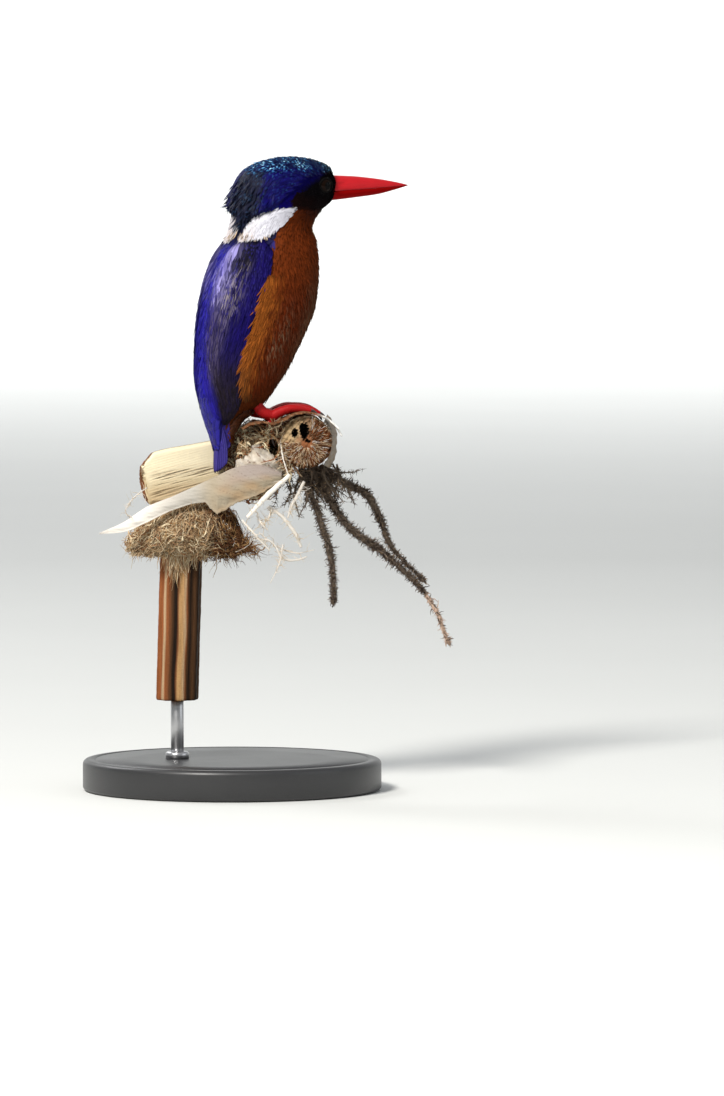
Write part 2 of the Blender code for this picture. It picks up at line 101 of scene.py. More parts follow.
def setUv(piece, uv):
    # the baking map, with one place for each corner of each face
    piece.data.uv_layers.new(name="OFBake").data.foreach_set("uv", uv.ravel().astype(np.float32))


def settle(piece, finish, slotName, *nodes):
    piece.data.materials.append(finish)
    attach(piece, "root")
    if nodes:
        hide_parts(*nodes)
    return piece


def ringFaces(rows, around, capFirst=True, capLast=True):
    # quads between rows of points; the ends are closed by a fan round the first and last single points
    i, j = np.meshgrid(np.arange(rows - 1), np.arange(around), indexing="ij")
    a, b = i * around + j, i * around + (j + 1) % around
    quads = np.stack([a, b, b + around, a + around], -1).reshape(-1, 4)
    k, last = np.arange(around), (rows - 1) * around
    fans = [np.zeros((0, 3), int)]
    if capFirst:
        fans.append(np.stack([np.full(around, rows * around), (k + 1) % around, k], -1))
    if capLast:
        fans.append(np.stack([np.full(around, rows * around + int(capFirst)), last + k, last + (k + 1) % around], -1))
    fans = np.concatenate(fans)
    return np.r_[np.full(len(quads), 4), np.full(len(fans), 3)], np.r_[quads.ravel(), fans.ravel()]


def withEnds(values):
    # one value for each point of a loft, its two end centres last
    values = np.asarray(values, float)
    flat = values.reshape(-1, *values.shape[2:])
    return np.concatenate([flat, values[:1].mean(1), values[-1:].mean(1)])


def loftPieces(name, grids, **data):
    # closed lofts in one mesh, with their own point data; each grid is rows x around x 3, anticlockwise seen from
    # beyond its last row, and both its ends are closed at their middles
    sizes, corners, start = [], [], 0
    for grid in grids:
        size, corner = ringFaces(*grid.shape[:2])
        sizes.append(size)
        corners.append(corner + start)
        start += grid.shape[0] * grid.shape[1] + 2
    points = np.concatenate([withEnds(grid) for grid in grids])
    piece = addMesh(name, points, np.concatenate(sizes), np.concatenate(corners))
    for key, values in data.items():
        setPointData(piece, key, np.concatenate([withEnds(each) for each in values]))
    return piece


def turns(count):
    # equal steps once round
    return np.linspace(0, 2 * math.pi, count, endpoint=False)


def places(x, y, z):
    return np.stack(np.broadcast_arrays(x, y, z), -1)


def setUpView():
    camera = bpy.data.objects.new("camera", bpy.data.cameras.new("camera"))
    bpy.context.scene.collection.objects.link(camera)
    bpy.context.scene.camera = camera
    camera.data.lens = view["lens"]
    camera.data.sensor_width = 36.0
    a, e = math.radians(view["azimuth"]), math.radians(view["elevation"])
    back = Vector((math.sin(a) * math.cos(e), -math.cos(a) * math.cos(e), math.sin(e)))
    right = Vector((math.cos(a), math.sin(a), 0))
    look = (right * view["lookAcross"] + Vector((0, 0, view["lookUp"]))) * mm
    camera.location = look + back * view["frameHeight"] * mm * view["lens"] / 36.0
    camera.rotation_euler = back.to_track_quat("Z", "Y").to_euler()
    camera.data.clip_start, camera.data.clip_end = 0.05, 60.0


def addLight(name, size, power, place, target, tint=(1, 1, 1)):
    light = bpy.data.lights.new(name, "AREA")
    light.shape, light.size, light.energy, light.color = "DISK", size, power, tint
    lamp = bpy.data.objects.new(name, light)
    bpy.context.scene.collection.objects.link(lamp)
    lamp.location = place
    lamp.rotation_euler = (Vector(place) - Vector(target)).to_track_quat("Z", "Y").to_euler()


def setUpStudio():
    # a pale floor that curves up far off into a wall all round, a pale even sky, one large soft light from the
    # upper left and weak fills; the floor's profile is a level run, then a quarter circle
    turn = np.linspace(0, math.pi / 2, 16)
    reach = np.r_[0.02, 0.5, 2.0, studio["floorSize"] + studio["cove"] * np.sin(turn)][:, None] / mm
    height = np.r_[0, 0, 0, studio["cove"] * (1 - np.cos(turn))][:, None] / mm - studio["floorDrop"]
    around = turns(96)
    grid = places(reach * np.cos(around), -reach * np.sin(around), height)
    points = np.concatenate([grid.reshape(-1, 3), grid[:1].mean(1)])
    floor = addMesh("floor", points, *ringFaces(len(reach), 96, True, False))
    finish = Maker("floorPaint", Roughness=0.85)
    cloud = finish.noise(finish.place(), 6.0, 3, 0.5)
    finish.colour(finish.mix(cloud, studio["floorTone"], studio["floorShade"]))
    floor.data.materials.append(finish.material)
    bpy.context.scene.view_settings.view_transform = "Standard"
    world = bpy.data.worlds.new("sky")
    bpy.context.scene.world = world
    world.use_nodes = True
    world.node_tree.nodes["Background"].inputs["Color"].default_value = (*studio["sky"], 1)
    world.node_tree.nodes["Background"].inputs["Strength"].default_value = studio["skyPower"]
    for name, size, power, place, tint in studio["lights"]:
        addLight(name, size, power, place, (0, 0, 0.13), tint)
    addLight("wallLight", *studio["wallLight"])


# materials: arithmetic on a wrapped socket adds Math nodes

class Socket:
    def __init__(self, maker, socket):
        self.maker, self.socket = maker, socket

    def maths(self, operation, *parts):
        return self.maker.node("ShaderNodeMath", {"operation": operation}, dict(enumerate(parts)))

    def __add__(self, other):
        return self.maths("ADD", self, other)

    def __radd__(self, other):
        return self.maths("ADD", other, self)

    def __sub__(self, other):
        return self.maths("SUBTRACT", self, other)

    def __rsub__(self, other):
        return self.maths("SUBTRACT", other, self)

    def __mul__(self, other):
        return self.maths("MULTIPLY", self, other)

    def wave(self):
        return self.maths("SINE", self)

    def size(self):
        return self.maths("ABSOLUTE", self)

    def between(self, low, high):
        # 0 below low and 1 above high, with a soft step between them
        limits = {"Value": self, "From Min": low, "From Max": high}
        return self.maker.node("ShaderNodeMapRange", {"interpolation_type": "SMOOTHSTEP"}, limits)


class Maker:
    def __init__(self, name, **fixed):
        self.material = bpy.data.materials.new(name)
        self.material.use_nodes = True
        self.tree = self.material.node_tree
        self.shader = self.tree.nodes["Principled BSDF"]
        for key, value in fixed.items():
            self.shader.inputs[key.replace("_", " ")].default_value = value

    def node(self, kind, settings, inputs, out=0):
        made = self.tree.nodes.new(kind)
        for key, value in settings.items():
            setattr(made, key, value)
        for key, value in inputs.items():
            if isinstance(value, Socket):
                self.tree.links.new(value.socket, made.inputs[key])
            elif isinstance(value, tuple) and made.inputs[key].type == "RGBA":
                made.inputs[key].default_value = (*value, 1)
            else:
                made.inputs[key].default_value = value
        return Socket(self, made.outputs[out])

    def place(self, scale=(1, 1, 1), turn=(0, 0, 0)):
        here = self.node("ShaderNodeTexCoord", {}, {}, 3)
        if scale == (1, 1, 1) and turn == (0, 0, 0):
            return here
        return self.node("ShaderNodeMapping", {}, {"Vector": here, "Scale": scale, "Rotation": turn})

    def data(self, name, out=2):
        return self.node("ShaderNodeAttribute", {"attribute_name": name}, {}, out)

    def noise(self, at, scale, detail, roughness, distortion=0.0):
        inputs = {"Vector": at, "Scale": scale, "Detail": detail, "Roughness": roughness, "Distortion": distortion}
        return self.node("ShaderNodeTexNoise", {}, inputs)

    def mix(self, share, first, second, blend="MIX"):
        settings = {"data_type": "RGBA", "blend_type": blend}
        return self.node("ShaderNodeMix", settings, {0: share, 6: first, 7: second}, 2)

    def tinted(self, shade):
        # the mesh's tint, made darker or lighter by a shade
        grey = self.node("ShaderNodeCombineColor", {}, {0: shade, 1: shade, 2: shade})
        return self.mix(1.0, self.data("tint", 0), grey, "MULTIPLY")

    def colour(self, value):
        self.tree.links.new(value.socket, self.shader.inputs["Base Color"])

    def rough(self, value):
        self.tree.links.new(value.socket, self.shader.inputs["Roughness"])

    def bump(self, height, distance, strength=1.0):
        inputs = {"Height": height, "Distance": distance * mm, "Strength": strength}
        made = self.node("ShaderNodeBump", {}, inputs)
        self.tree.links.new(made.socket, self.shader.inputs["Normal"])


def speckFinish(name, noise, dark, light, depth, strength=1.0, rough=None, **fixed):
    # two tones mixed by one noise, given as its stretch, scale and detail, which also makes the bump
    made = Maker(name, **fixed)
    stretch, scale, detail = noise
    speck = made.noise(made.place(stretch), scale, detail, 0.6)
    made.colour(made.mix(speck, dark, light))
    if rough:
        made.rough(rough[0] + speck * rough[1])
    made.bump(speck, depth, strength)
    return made.material


def downFinish(name, stretch, scale, dark, light, depth):
    # the mesh's tint, mottled between two shades of grey
    made = Maker(name, Roughness=0.8, Specular_IOR_Level=0.1)
    down = made.noise(made.place(stretch), scale, 3, 0.6)
    ramp = made.node("ShaderNodeValToRGB", {}, {0: down})
    for element, at, grey in zip(ramp.socket.node.color_ramp.elements, (0.2, 0.8), (dark, light)):
        element.position, element.color = at, (grey, grey, grey, 1)
    made.colour(made.mix(1.0, made.data("tint", 0), ramp, "MULTIPLY"))
    made.bump(down, depth)
    return made.material


setUpView()
setUpStudio()
print("stage: view and light")


# the bird's form: level ovals in millimetres, measured from the neck's upright axis

form = {
    "neckX": 12.7, "headTurn": 15.0, "turnFrom": 167.0, "turnTo": 176.0, "crownRise": 7.6,
    # height, back, front, half width, egg
    "levels": [
        (110.0, -18.6, -12.6, 4.4, 0.00), (115.7, -21.3, -8.6, 7.2, 0.00), (119.4, -22.3, -2.7, 9.6, 0.00),
        (124.3, -22.9, 1.1, 11.7, 0.00), (130.5, -22.8, 5.2, 13.2, 0.00), (138.8, -22.1, 9.4, 14.3, 0.00),
        (146.8, -21.1, 13.1, 14.9, 0.00), (155.1, -19.6, 14.6, 14.8, 0.00), (163.1, -16.9, 14.8, 13.8, 0.00),
        (168.9, -14.0, 14.2, 12.5, 0.03), (172.6, -12.7, 13.3, 11.7, 0.06), (176.9, -11.8, 16.2, 11.2, 0.14),
        (181.2, -11.0, 22.0, 10.9, 0.26), (185.8, -9.5, 23.9, 10.4, 0.30),
    ],
}
crownBase = form["levels"][-1][0]


def smoothTable(rows):
    # a cubic through the rows, where each row's slope is that between its two neighbours
    table = np.array(rows, float)
    knots, values = table[:, 0], table[:, 1:]
    after = np.r_[1:len(knots), len(knots) - 1]
    before = np.r_[0, 0:len(knots) - 1]
    slopes = (values[after] - values[before]) / (knots[after] - knots[before])[:, None]

    def at(height):
        height = np.clip(height, knots[0], knots[-1])
        i = np.clip(np.searchsorted(knots, height, side="right") - 1, 0, len(knots) - 2)
        span = (knots[i + 1] - knots[i])[..., None]
        t = (height - knots[i])[..., None] / span
        rise, fall, step = slopes[i] * span, slopes[i + 1] * span, values[i + 1] - values[i]
        found = values[i] + t * (rise + t * (3 * step - 2 * rise - fall + t * (rise + fall - 2 * step)))
        return np.moveaxis(found, -1, 0)

    return at


def soft(value, low, high):
    # 0 to 1 as value goes from low to high, level at both ends
    t = np.clip((value - low) / (high - low), 0, 1)
    return t * t * (3 - 2 * t)


formAt = smoothTable(form["levels"])


def headTurnAt(height):
    return math.radians(form["headTurn"]) * soft(height, form["turnFrom"], form["turnTo"])


def turned(reach, side, height):
    # a place from its reach before the neck's axis and its side to the left, turned with the head
    turn = headTurnAt(height)
    x = form["neckX"] + reach * np.cos(turn) - side * np.sin(turn)
    return np.stack([x, reach * np.sin(turn) + side * np.cos(turn), height + 0 * x], -1)


def onBody(height, angle, grow=0.0):
    # the surface at a height and an angle in degrees from the breast, 90 being the bird's left
    height, angle = np.broadcast_arrays(np.asarray(height, float), np.asarray(angle, float))
    back, front, half, egg = formAt(np.minimum(height, crownBase))
    lift = np.clip((height - crownBase) / form["crownRise"], 0, 1)
    narrow = np.sqrt(1 - lift * lift)
    c, s = np.cos(np.radians(angle)), np.sin(np.radians(angle))
    up = np.where(lift > 0, crownBase + (form["crownRise"] + grow) * lift, height)
    reach = (front + back) / 2 + ((front - back) / 2 + grow) * narrow * c
    return turned(reach, (half + grow) * narrow * s * (1 - egg * c), up)


def bodyCoords(points):
    # the two shares of the oval at a point, forwards and to the left, and the share up the crown
    x, y, z = np.moveaxis(points, -1, 0)
    turn = headTurnAt(z)
    forwards = (x - form["neckX"]) * np.cos(turn) + y * np.sin(turn)
    side = y * np.cos(turn) - (x - form["neckX"]) * np.sin(turn)
    back, front, half, egg = formAt(np.minimum(z, crownBase))
    p = (forwards - (front + back) / 2) * 2 / (front - back)
    q = side / (half * (1 - egg * np.clip(p, -1, 1)))
    return p, q, np.maximum(0, (z - crownBase) / form["crownRise"]), half


def bodyAngle(points):
    p, q, _, _ = bodyCoords(points)
    return np.degrees(np.arctan2(q, p))


def depthField(points):
    # about the distance outside the surface
    p, q, lift, half = bodyCoords(points)
    return (np.sqrt(p * p + q * q + lift * lift) - 1) * half


def slopeOf(points, step=0.05):
    # the field's gradient, from differences along each axis
    steps = np.eye(3) * step
    return np.stack([(depthField(points + axis) - depthField(points - axis)) / (2 * step) for axis in steps], -1)


def unit(vectors):
    return vectors / np.maximum(np.linalg.norm(vectors, axis=-1, keepdims=True), 1e-9)


def level(vectors, normals):
    # the directions of the vectors with their parts along the normals taken out
    return unit(vectors - normals * (vectors * normals).sum(-1, keepdims=True))


def ontoBody(points):
    # the nearest surface points and their outward normals, by two Newton steps
    for _ in range(2):
        slope = slopeOf(points)
        points = points - slope * (depthField(points) / (slope ** 2).sum(-1))[..., None]
    return points, unit(slopeOf(points))


# markings, the same for skin and coat

tones = {
    "flank": (0.240, 0.066, 0.010), "breast": (0.080, 0.0125, 0.0025), "belly": (0.070, 0.020, 0.005),
    "oliveShade": (0.075, 0.033, 0.014), "bib": (0.120, 0.022, 0.004), "ash": (0.210, 0.135, 0.080),
    "cheekShade": (0.007, 0.0025, 0.0025), "throat": (0.60, 0.46, 0.30), "lore": (0.003, 0.002, 0.003),
    "white": (0.66, 0.655, 0.72), "cream": (0.72, 0.50, 0.30), "faceBlue": (0.0035, 0.0020, 0.082),
    "nape": (0.008, 0.009, 0.024), "mantle": (0.036, 0.026, 0.200), "lavenderHighlight": (0.180, 0.155, 0.470),
    "back": (0.014, 0.010, 0.230), "crown": (0.002, 0.004, 0.056), "turquoise": (0.100, 0.480, 1.000),
    # ice: the crown bars' painted highlight
    "ice": (0.36, 0.74, 1.0),
}
# the angle from the breast at which rufous gives way to blue, by height
blueFrom = smoothTable([
    (108, 88), (113, 95), (117, 112), (150, 120), (162, 116), (168, 104), (172, 100), (176, 99), (179, 104),
    (183.2, 107), (185.8, 74), (188.5, 25),
])
# the white neck patch's lower and upper edges, by angle
patchEdges = smoothTable([
    (88, 176.6, 177.4), (92, 175.6, 177.8), (95, 174.4, 178.6), (98, 173.6, 179.0), (104, 172.8, 179.1),
    (112, 172.0, 179.0), (120, 171.6, 178.8), (128, 171.2, 178.5), (140, 170.9, 178.0), (153, 170.5, 177.3),
    (164, 170.3, 176.0), (172, 170.6, 174.6),
])


def ripple(points, pitch, seed=0.0):
    # a smooth wandering value between about -1 and 1, from sines along three slanted directions
    x, y, z = np.moveaxis(np.asarray(points) / pitch, -1, 0)
    a = np.sin(x * 1.3 + y * 2.1 - z * 0.7 + seed) * np.cos(y * 1.7 - z * 1.9 + 2.3 * seed)
    return 0.6 * a + 0.4 * np.sin(2.9 * x - 2.3 * y + 3.1 * z + 5.1 * seed)


def napeAngle(points):
    # the angle from the breast, which follows the turned head at the back of the neck
    angle = bodyAngle(points)
    angle = np.abs(angle - 12 * soft(np.abs(angle), 126, 152))
    return np.where(angle > 180, 360 - angle, angle)


def patchShare(points):
    angle = napeAngle(points) + 1.2 * ripple(points, 1.1, 4.0)
    low, high = patchEdges(angle)
    z = points[..., 2] + 0.18 * ripple(points, 0.8, 1.0)
    inside = soft(z, low - 0.3, low + 0.4) * (1 - soft(z, high - 0.4, high + 0.3))
    return inside * soft(angle, 91, 94) * (1 - soft(angle, 169, 174))


def blend(first, second, share):
    return np.array(first) + np.asarray(share)[..., None] * (np.array(second) - np.array(first))


def layered(names, paint, *layers):
    # named or given tones laid over the first, each by its own share
    paint = names[paint] if isinstance(paint, str) else paint
    for tone, share in layers:
        paint = blend(paint, names.get(tone, tone), share)
    return paint


def speck(place, spread, middle):
    # a bell about a middle, by the offsets over the spreads in angle or share and in height
    return np.exp(-((place[0] - middle[0]) / spread[0]) ** 2 - ((place[1] - middle[1]) / spread[1]) ** 2)


def markings(points):
    # the plumage's colour at places on the body
    z = points[..., 2]
    angle, behind = np.abs(bodyAngle(points)), napeAngle(points)
    wander = ripple(points, 2.2, 2.0)
    blank = np.zeros(points.shape)
    over = layered(
        tones, blank + tones["mantle"],
        ("back", soft(angle, 150, 168)),
        # lavender on the upper back: the plumage's own paler violet with a painted highlight
        ("lavenderHighlight", soft(z, 146, 160) * soft(angle, 112, 125) * (1 - soft(angle, 146, 166))),
        ("nape", soft(z, 166, 171) * soft(angle, 95, 105)),
        ("faceBlue", soft(z, 172.6, 178.2) * (1 - soft(behind, 150, 166))),
        ("crown", soft(z, 189.2, 191.2)),
    )
    ash = 0.6 * speck((angle, z), (10, 8), (74, 139)) + 0.35 * speck((angle, z), (14, 10), (40, 146))
    rise = 2.5 * soft(angle, 50, 85)
    under = layered(
        tones, blank + tones["flank"],
        # the flank's bright orange by the wing is the lit side, and the breast darkens away from it, partly its own
        # deeper rufous and partly painted shade
        ("breast", 1 - soft(angle + 5 * wander + 0.35 * (z - 140), 84, 106)),
        ("bib", soft(z, 150, 161) * 0.95),
        # a dull olive low on the front of the breast: painted shade
        ("oliveShade", (1 - soft(angle + 5 * wander, 14, 66)) * (1 - soft(z, 150, 170)) * 0.75),
        # the belly darkens low down in front of the wing: painted shade
        ("belly", (1 - soft(z, 114, 130)) * (1 - soft(angle, 84, 112)) * 0.8),
        ("ash", ash * soft(ripple(points * [1, 1, 0.25], 0.55, 3.0), -0.3, 0.5)),
        # the cheek is painted near black: painted shade over its own rufous
        ("cheekShade", soft(z, 171.5 + rise, 177.5 + rise)),
        ("throat", soft(z, 165, 171) * (1 - soft(angle + 2 * wander, 13, 22)) * (1 - soft(z, 179, 181))),
    )
    edge = blueFrom(z)[0] + 2.5 * wander
    mask = soft(z, 180.5, 183.5) * (1 - soft(z + 0.10 * (angle - 60), 188.0, 191.0)) * (1 - soft(angle, 84, 116))
    low, white = patchEdges(behind)[0], patchShare(points)
    return layered(
        tones, blend(over, under, 1 - soft(angle, edge - 1, edge + 1)),
        ("lore", mask),
        ("lore", soft(z, 177.5, 181.0) * (1 - soft(angle, 66, 84)) * (1 - soft(z, 184, 186)) * 0.6),
        ("white", white),
        ("cream", white * soft(behind, 146, 168) * (1 - soft(z, low + 1.0, low + 3.0))),
    )


# how the coat is laid

def lieOf(points, normals):
    # back from the bill over the head, and down the neck and body
    base = turned(22.0, 0.0, 185.0)
    head = soft(points[..., 2], 168, 178) * (1 - 0.55 * soft(-bodyCoords(points)[0], 0.1, 0.9))
    flow = unit(points - base) * head[..., None] + np.array([0, 0, -1.0]) * (1 - head)[..., None]
    return level(flow, normals)


def scatterRoots(low, high, spacing, jitter=0.3):
    # level rows of roots, spaced evenly round each row's girth, every second row shifted by half a step
    rise = spacing * 0.87
    levels = list(np.arange(low, min(high, crownBase), rise))
    step, top = rise / 10.5, form["crownRise"]
    levels += [z for z in crownBase + top * np.sin(np.arange(0.5 * step, math.pi / 2, step)) if z < high]
    heights, angles = [], []
    fine = np.linspace(-180, 180, 241)
    for row, height in enumerate(levels):
        arc = np.r_[0, np.cumsum(np.linalg.norm(np.diff(onBody(height, fine), axis=0), axis=1))]
        count = max(3, round(arc[-1] / spacing))
        place = (np.arange(count) + 0.5 * (row % 2) + rng.uniform(-jitter, jitter, count)) / count * arc[-1]
        angles.append(np.interp(place % arc[-1], arc, fine))
        heights.append(np.clip(height + rng.uniform(-jitter, jitter, count) * rise, low, crownBase + top * 0.999))
    return np.concatenate(heights), np.concatenate(angles)


# how far each station's direction follows the lie, the power by which vanes rise, and the size of their map patches
vane = {"follow": 0.6, "rise": 1.2, "patch": 0.003}


def unwrap(points):
    # the skin's own map: round the body, and up it
    z = np.clip(points[..., 2], 95, crownBase) + 12 * np.clip(bodyCoords(points)[2], 0, 1)
    across = (bodyAngle(points) + 180) / 360 * 0.99 + 0.005
    return np.stack([across, 0.01 + 0.98 * (z - 95) / (crownBase + 12 - 95)], -1)


def dressVanes(piece, roots, along, across, tint):
    # what every vane's points carry, and its small patch of the map at its root's own place on the skin
    count, each = len(roots), len(along)
    setPointData(piece, "along", np.tile(along, count))
    setPointData(piece, "across", np.tile(across, count))
    setPointData(piece, "tone", np.repeat(rng.random(count), each))
    setPointData(piece, "tint", tint if len(tint) == count * each else np.repeat(tint, each, 0))
    patch = np.stack([across / 2, along - 0.5], -1) * vane["patch"]
    setUv(piece, (unwrap(roots)[:, None] + patch).reshape(-1, 2)[cornerPoints(piece)])


def layVanes(name, roots, length, width, style, growAt, proud, tint, lie=None, **extra):
    # Thin three-sided vanes. Station k of a vane starts from the last one plus its share of the length along the
    # lie, is brought back onto the body, and stands off it by growAt + proud + lift * share ** rise. Its section is
    # a flat triangle: left edge, raised shaft, right edge, as wide as the width times the style's breadth there.
    share, breadth = np.array(style["along"]), np.array(style["breadth"])
    count, rows = len(roots), len(share) - 1
    points, normals = ontoBody(roots)
    swerve = np.tan(rng.normal(0, 1, count) * style["swerve"])[:, None]
    flow = lieOf(points, normals) if lie is None else lie
    flow = unit(flow + np.cross(normals, flow) * swerve)
    lift = style["lift"] * np.exp(rng.normal(0, 1, count) * style["unruly"])
    lines, sides, outs = [], [], []
    for k in range(rows + 1):
        if k:
            points, normals = ontoBody(points + flow * (length * (share[k] - share[k - 1]))[:, None])
            drift = flow
            if lie is None:
                drift = lieOf(points, normals)
                drift = unit(drift + np.cross(normals, drift) * swerve)
            flow = level(flow + vane["follow"] * drift, normals)
        stand = growAt(points) + proud + lift * share[k] ** vane["rise"]
        lines.append(points + normals * stand[:, None])
        sides.append(np.cross(normals, flow))
        outs.append(normals)
    line, side, out = (np.stack(part, 1) for part in (lines, sides, outs))
    half = (width[:, None] * breadth / 2)[..., None]
    droop = out * half * style["camber"]
    left, right = line + side * half - droop, line - side * half - droop
    shaft = line + out * style["thick"] * (0.3 + breadth[None, :, None])
    rings = np.stack([left, shaft, right], 2)[:, :-1]
    points = np.concatenate([rings.reshape(count, -1, 3), line[:, -1:]], 1)
    tip, last = rows * 3, (rows - 1) * 3
    faceSizes, faceCorners = ringFaces(rows, 3, False, False)
    ends = [0, 2, 1, last, last + 1, tip, last + 1, last + 2, tip, last + 2, last, tip]
    piece = addMany(name, points, np.r_[faceSizes, np.full(4, 3)], np.r_[faceCorners, ends])
    dressVanes(piece, roots, np.r_[np.repeat(share[:-1], 3), 1.0], np.r_[np.tile([-1.0, 0.0, 1.0], rows), 0.0], tint)
    for key, values in extra.items():
        setPointData(piece, key, np.repeat(values, tip + 1))
    markRims(piece, tip)
    return piece


def markRims(piece, tip):
    # the long edges of each vane stay crisp under smooth shading
    mesh = piece.data
    ends = np.empty(len(mesh.edges) * 2, np.int32)
    mesh.edges.foreach_get("vertices", ends)
    ends = ends.reshape(-1, 2) % (tip + 1)
    kind = np.where(ends == tip, 9, ends % 3)
    rim = (kind == 0) | (kind == 2)
    crisp = (rim.all(1) & (kind[:, 0] == kind[:, 1])) | ((kind == 9).any(1) & rim.any(1))
    mesh.attributes.new("sharp_edge", "BOOLEAN", "EDGE").data.foreach_set("value", crisp)


def plumageFinish(name, rough=0.5, gloss=0.2, bars=None, fade=0.25):
    # tint, times each vane's own tone and painted shade darkening the root under its neighbours, with fine barbs as
    # bump
    made = Maker(name, Specular_IOR_Level=gloss)
    tone, along, across = made.data("tone"), made.data("along"), made.data("across")
    barbs = (along * 90 + across.size() * 22).wave()
    paint = made.tinted(1 - fade + tone * fade * 1.6 - (1 - along.between(0.0, 0.55)) * 0.35 + barbs * 0.05)
    made.colour(bars(made, paint, along, across, tone) if bars else paint)
    made.rough(rough - 0.12 + tone * 0.2)
    made.bump(barbs * 0.5 + (1 - across.size()) * 2.0, 0.02, 0.5)
    return made.material


# skin

skin = {
    "low": 111.4, "rows": 96, "domeRows": 22, "around": 128, "depth": 0.5, "faceDepth": 0.22, "crownRise": 0.75,
}
crest = {"front": 189.2, "nape": 176.4}


def crestEdge(angle):
    # the crest's lower edge: high over the bill, low at the nape
    behind = soft(np.abs(180 - np.abs(angle)), 105, 20)
    return crest["front"] + (crest["nape"] - crest["front"]) * behind, behind


def crownShare(points):
    edge = crestEdge(bodyAngle(points))[0]
    return soft(points[..., 2], edge - 0.9, edge + 1.4)


def skinGrow(points):
    face = soft(points[..., 2], 176, 181)
    depth = skin["depth"] + (skin["faceDepth"] - skin["depth"]) * face
    return -depth + crownShare(points) * (skin["crownRise"] + depth)


def buildSkin():
    # heights by equal steps of the side line, and up the crown by equal turns of its quarter ellipse
    straight = np.linspace(skin["low"], crownBase, skin["rows"] - skin["domeRows"], endpoint=False)
    dome = crownBase + form["crownRise"] * np.sin(np.linspace(0, math.pi / 2, skin["domeRows"]) * 0.995)
    surface = onBody(np.r_[straight, dome][:, None], np.linspace(-180, 180, skin["around"], endpoint=False))
    points, normals = ontoBody(surface)
    piece = loftPieces("skin", [surface + normals * skinGrow(points)[..., None]])
    every = withEnds(surface)
    setPointData(piece, "tint", markings(every))
    # faces across the map's seam run on past its end, and then the whole is drawn in a little to hold them
    corner, start = cornerPoints(piece), np.empty(len(piece.data.polygons), np.int32)
    piece.data.polygons.foreach_get("loop_start", start)
    uv = unwrap(every)[corner]
    furthest = np.repeat(np.maximum.reduceat(uv[:, 0], start), np.diff(np.r_[start, len(corner)]))
    uv[:, 0] += 0.99 * ((furthest > 0.8) & (uv[:, 0] < 0.2))
    setUv(piece, uv * [0.99, 1])
    finish = downFinish("skinDown", (1, 1, 1), 2500, 0.30, 0.75, 0.15)
    settle(piece, finish, "feather_rufous", "trunk", "neck", "head")


buildSkin()
print("stage: skin")


# plumage of the head and body

eye = {"reach": 14.6, "side": 6.8, "height": 185.8, "radius": 2.6}
rounded = {"along": (0, 0.22, 0.5, 0.78, 0.93, 1), "breadth": (0.4, 0.8, 1.0, 0.92, 0.6, 0)}
pointed = {"along": (0, 0.25, 0.5, 0.75, 1), "breadth": (0.5, 0.9, 1.0, 0.65, 0)}
wispy = {"along": (0, 0.3, 0.6, 0.85, 1), "breadth": (0.6, 1.0, 0.8, 0.45, 0)}
coat = {
    # shape, least and most length and width, swerve, lift, unruliness, camber, thickness
    "under": (pointed, (3.0, 5.4), (0.75, 1.1), 0.13, 0.62, 0.28, 0.25, 0.05),
    "flank": (wispy, (4.0, 7.5), (0.5, 0.75), 0.12, 0.30, 0.3, 0.22, 0.04),
    "back": (rounded, (4.0, 6.5), (1.6, 2.2), 0.09, 0.62, 0.2, 0.22, 0.05),
    "face": (pointed, (1.0, 2.1), (0.42, 0.62), 0.12, 0.3, 0.2, 0.2, 0.03),
    "crown": (pointed, (2.2, 6.0), (0.75, 1.15), 0.10, 0.6, 0.22, 0.3, 0.05),
    "patch": (wispy, (2.4, 4.2), (0.42, 0.5), 0.09, 0.55, 0.2, 0.25, 0.05),
    "plume": (wispy, (3.2, 7.0), (0.35, 0.75), 0.05, 0.22, 0.35, 0.2, 0.03),
    "covert": (pointed, (3.0, 4.4), (1.1, 1.5), 0.10, 0.36, 0.25, 0.20, 0.04),
    "scapular": (pointed, (5.0, 8.0), (1.3, 1.9), 0.08, 0.5, 0.22, 0.2, 0.05),
}


def clearOfEyes(points, room):
    clear = np.ones(len(points), bool)
    for side in (1, -1):
        middle = turned(eye["reach"], side * eye["side"], eye["height"])
        clear &= np.linalg.norm(points - middle, axis=1) > room
    return clear


def wingCovers(heights, angles):
    # where the folded wings hide the body, less a margin
    inner, outer, _ = wingAt(heights)
    turn = 180 - np.abs(angles)
    return (turn > inner + 9) & (turn < outer - 9) & (heights > 117) & (heights < 164)


wing = {
    # height, inner angle, outer angle, thickness
    "edges": [
        (112.2, 62, 78, 0.8), (114.0, 51, 90, 0.9), (116.5, 43, 93, 1.0), (119.5, 37, 87, 1.1), (125.0, 27, 77, 1.3),
        (132.0, 19, 72, 1.6), (139.0, 16, 73, 1.8), (147.0, 17, 74, 2.0), (156.0, 20, 75, 2.1), (163.0, 25, 75, 1.9),
        (167.5, 31, 71, 1.5), (169.5, 41, 62, 1.0),
    ],
    "gap": 0.3, "rim": 0.6,
}
wingAt = smoothTable(wing["edges"])


def styleOf(kind):
    shape, *values = coat[kind]
    return {**shape, **dict(zip(("length", "width", "swerve", "lift", "unruly", "camber", "thick"), values))}


def sizes(style, share, count):
    # length and width run from small to large with the share, and each vane varies a little
    ranges = style["length"], style["width"]
    return [(low + (high - low) * share) * rng.uniform(0.85, 1.15, count) for low, high in ranges]


def below(points, drop):
    # the skin a little lower, where most of a hanging vane shows
    return ontoBody(points - [0, 0, drop])[0]


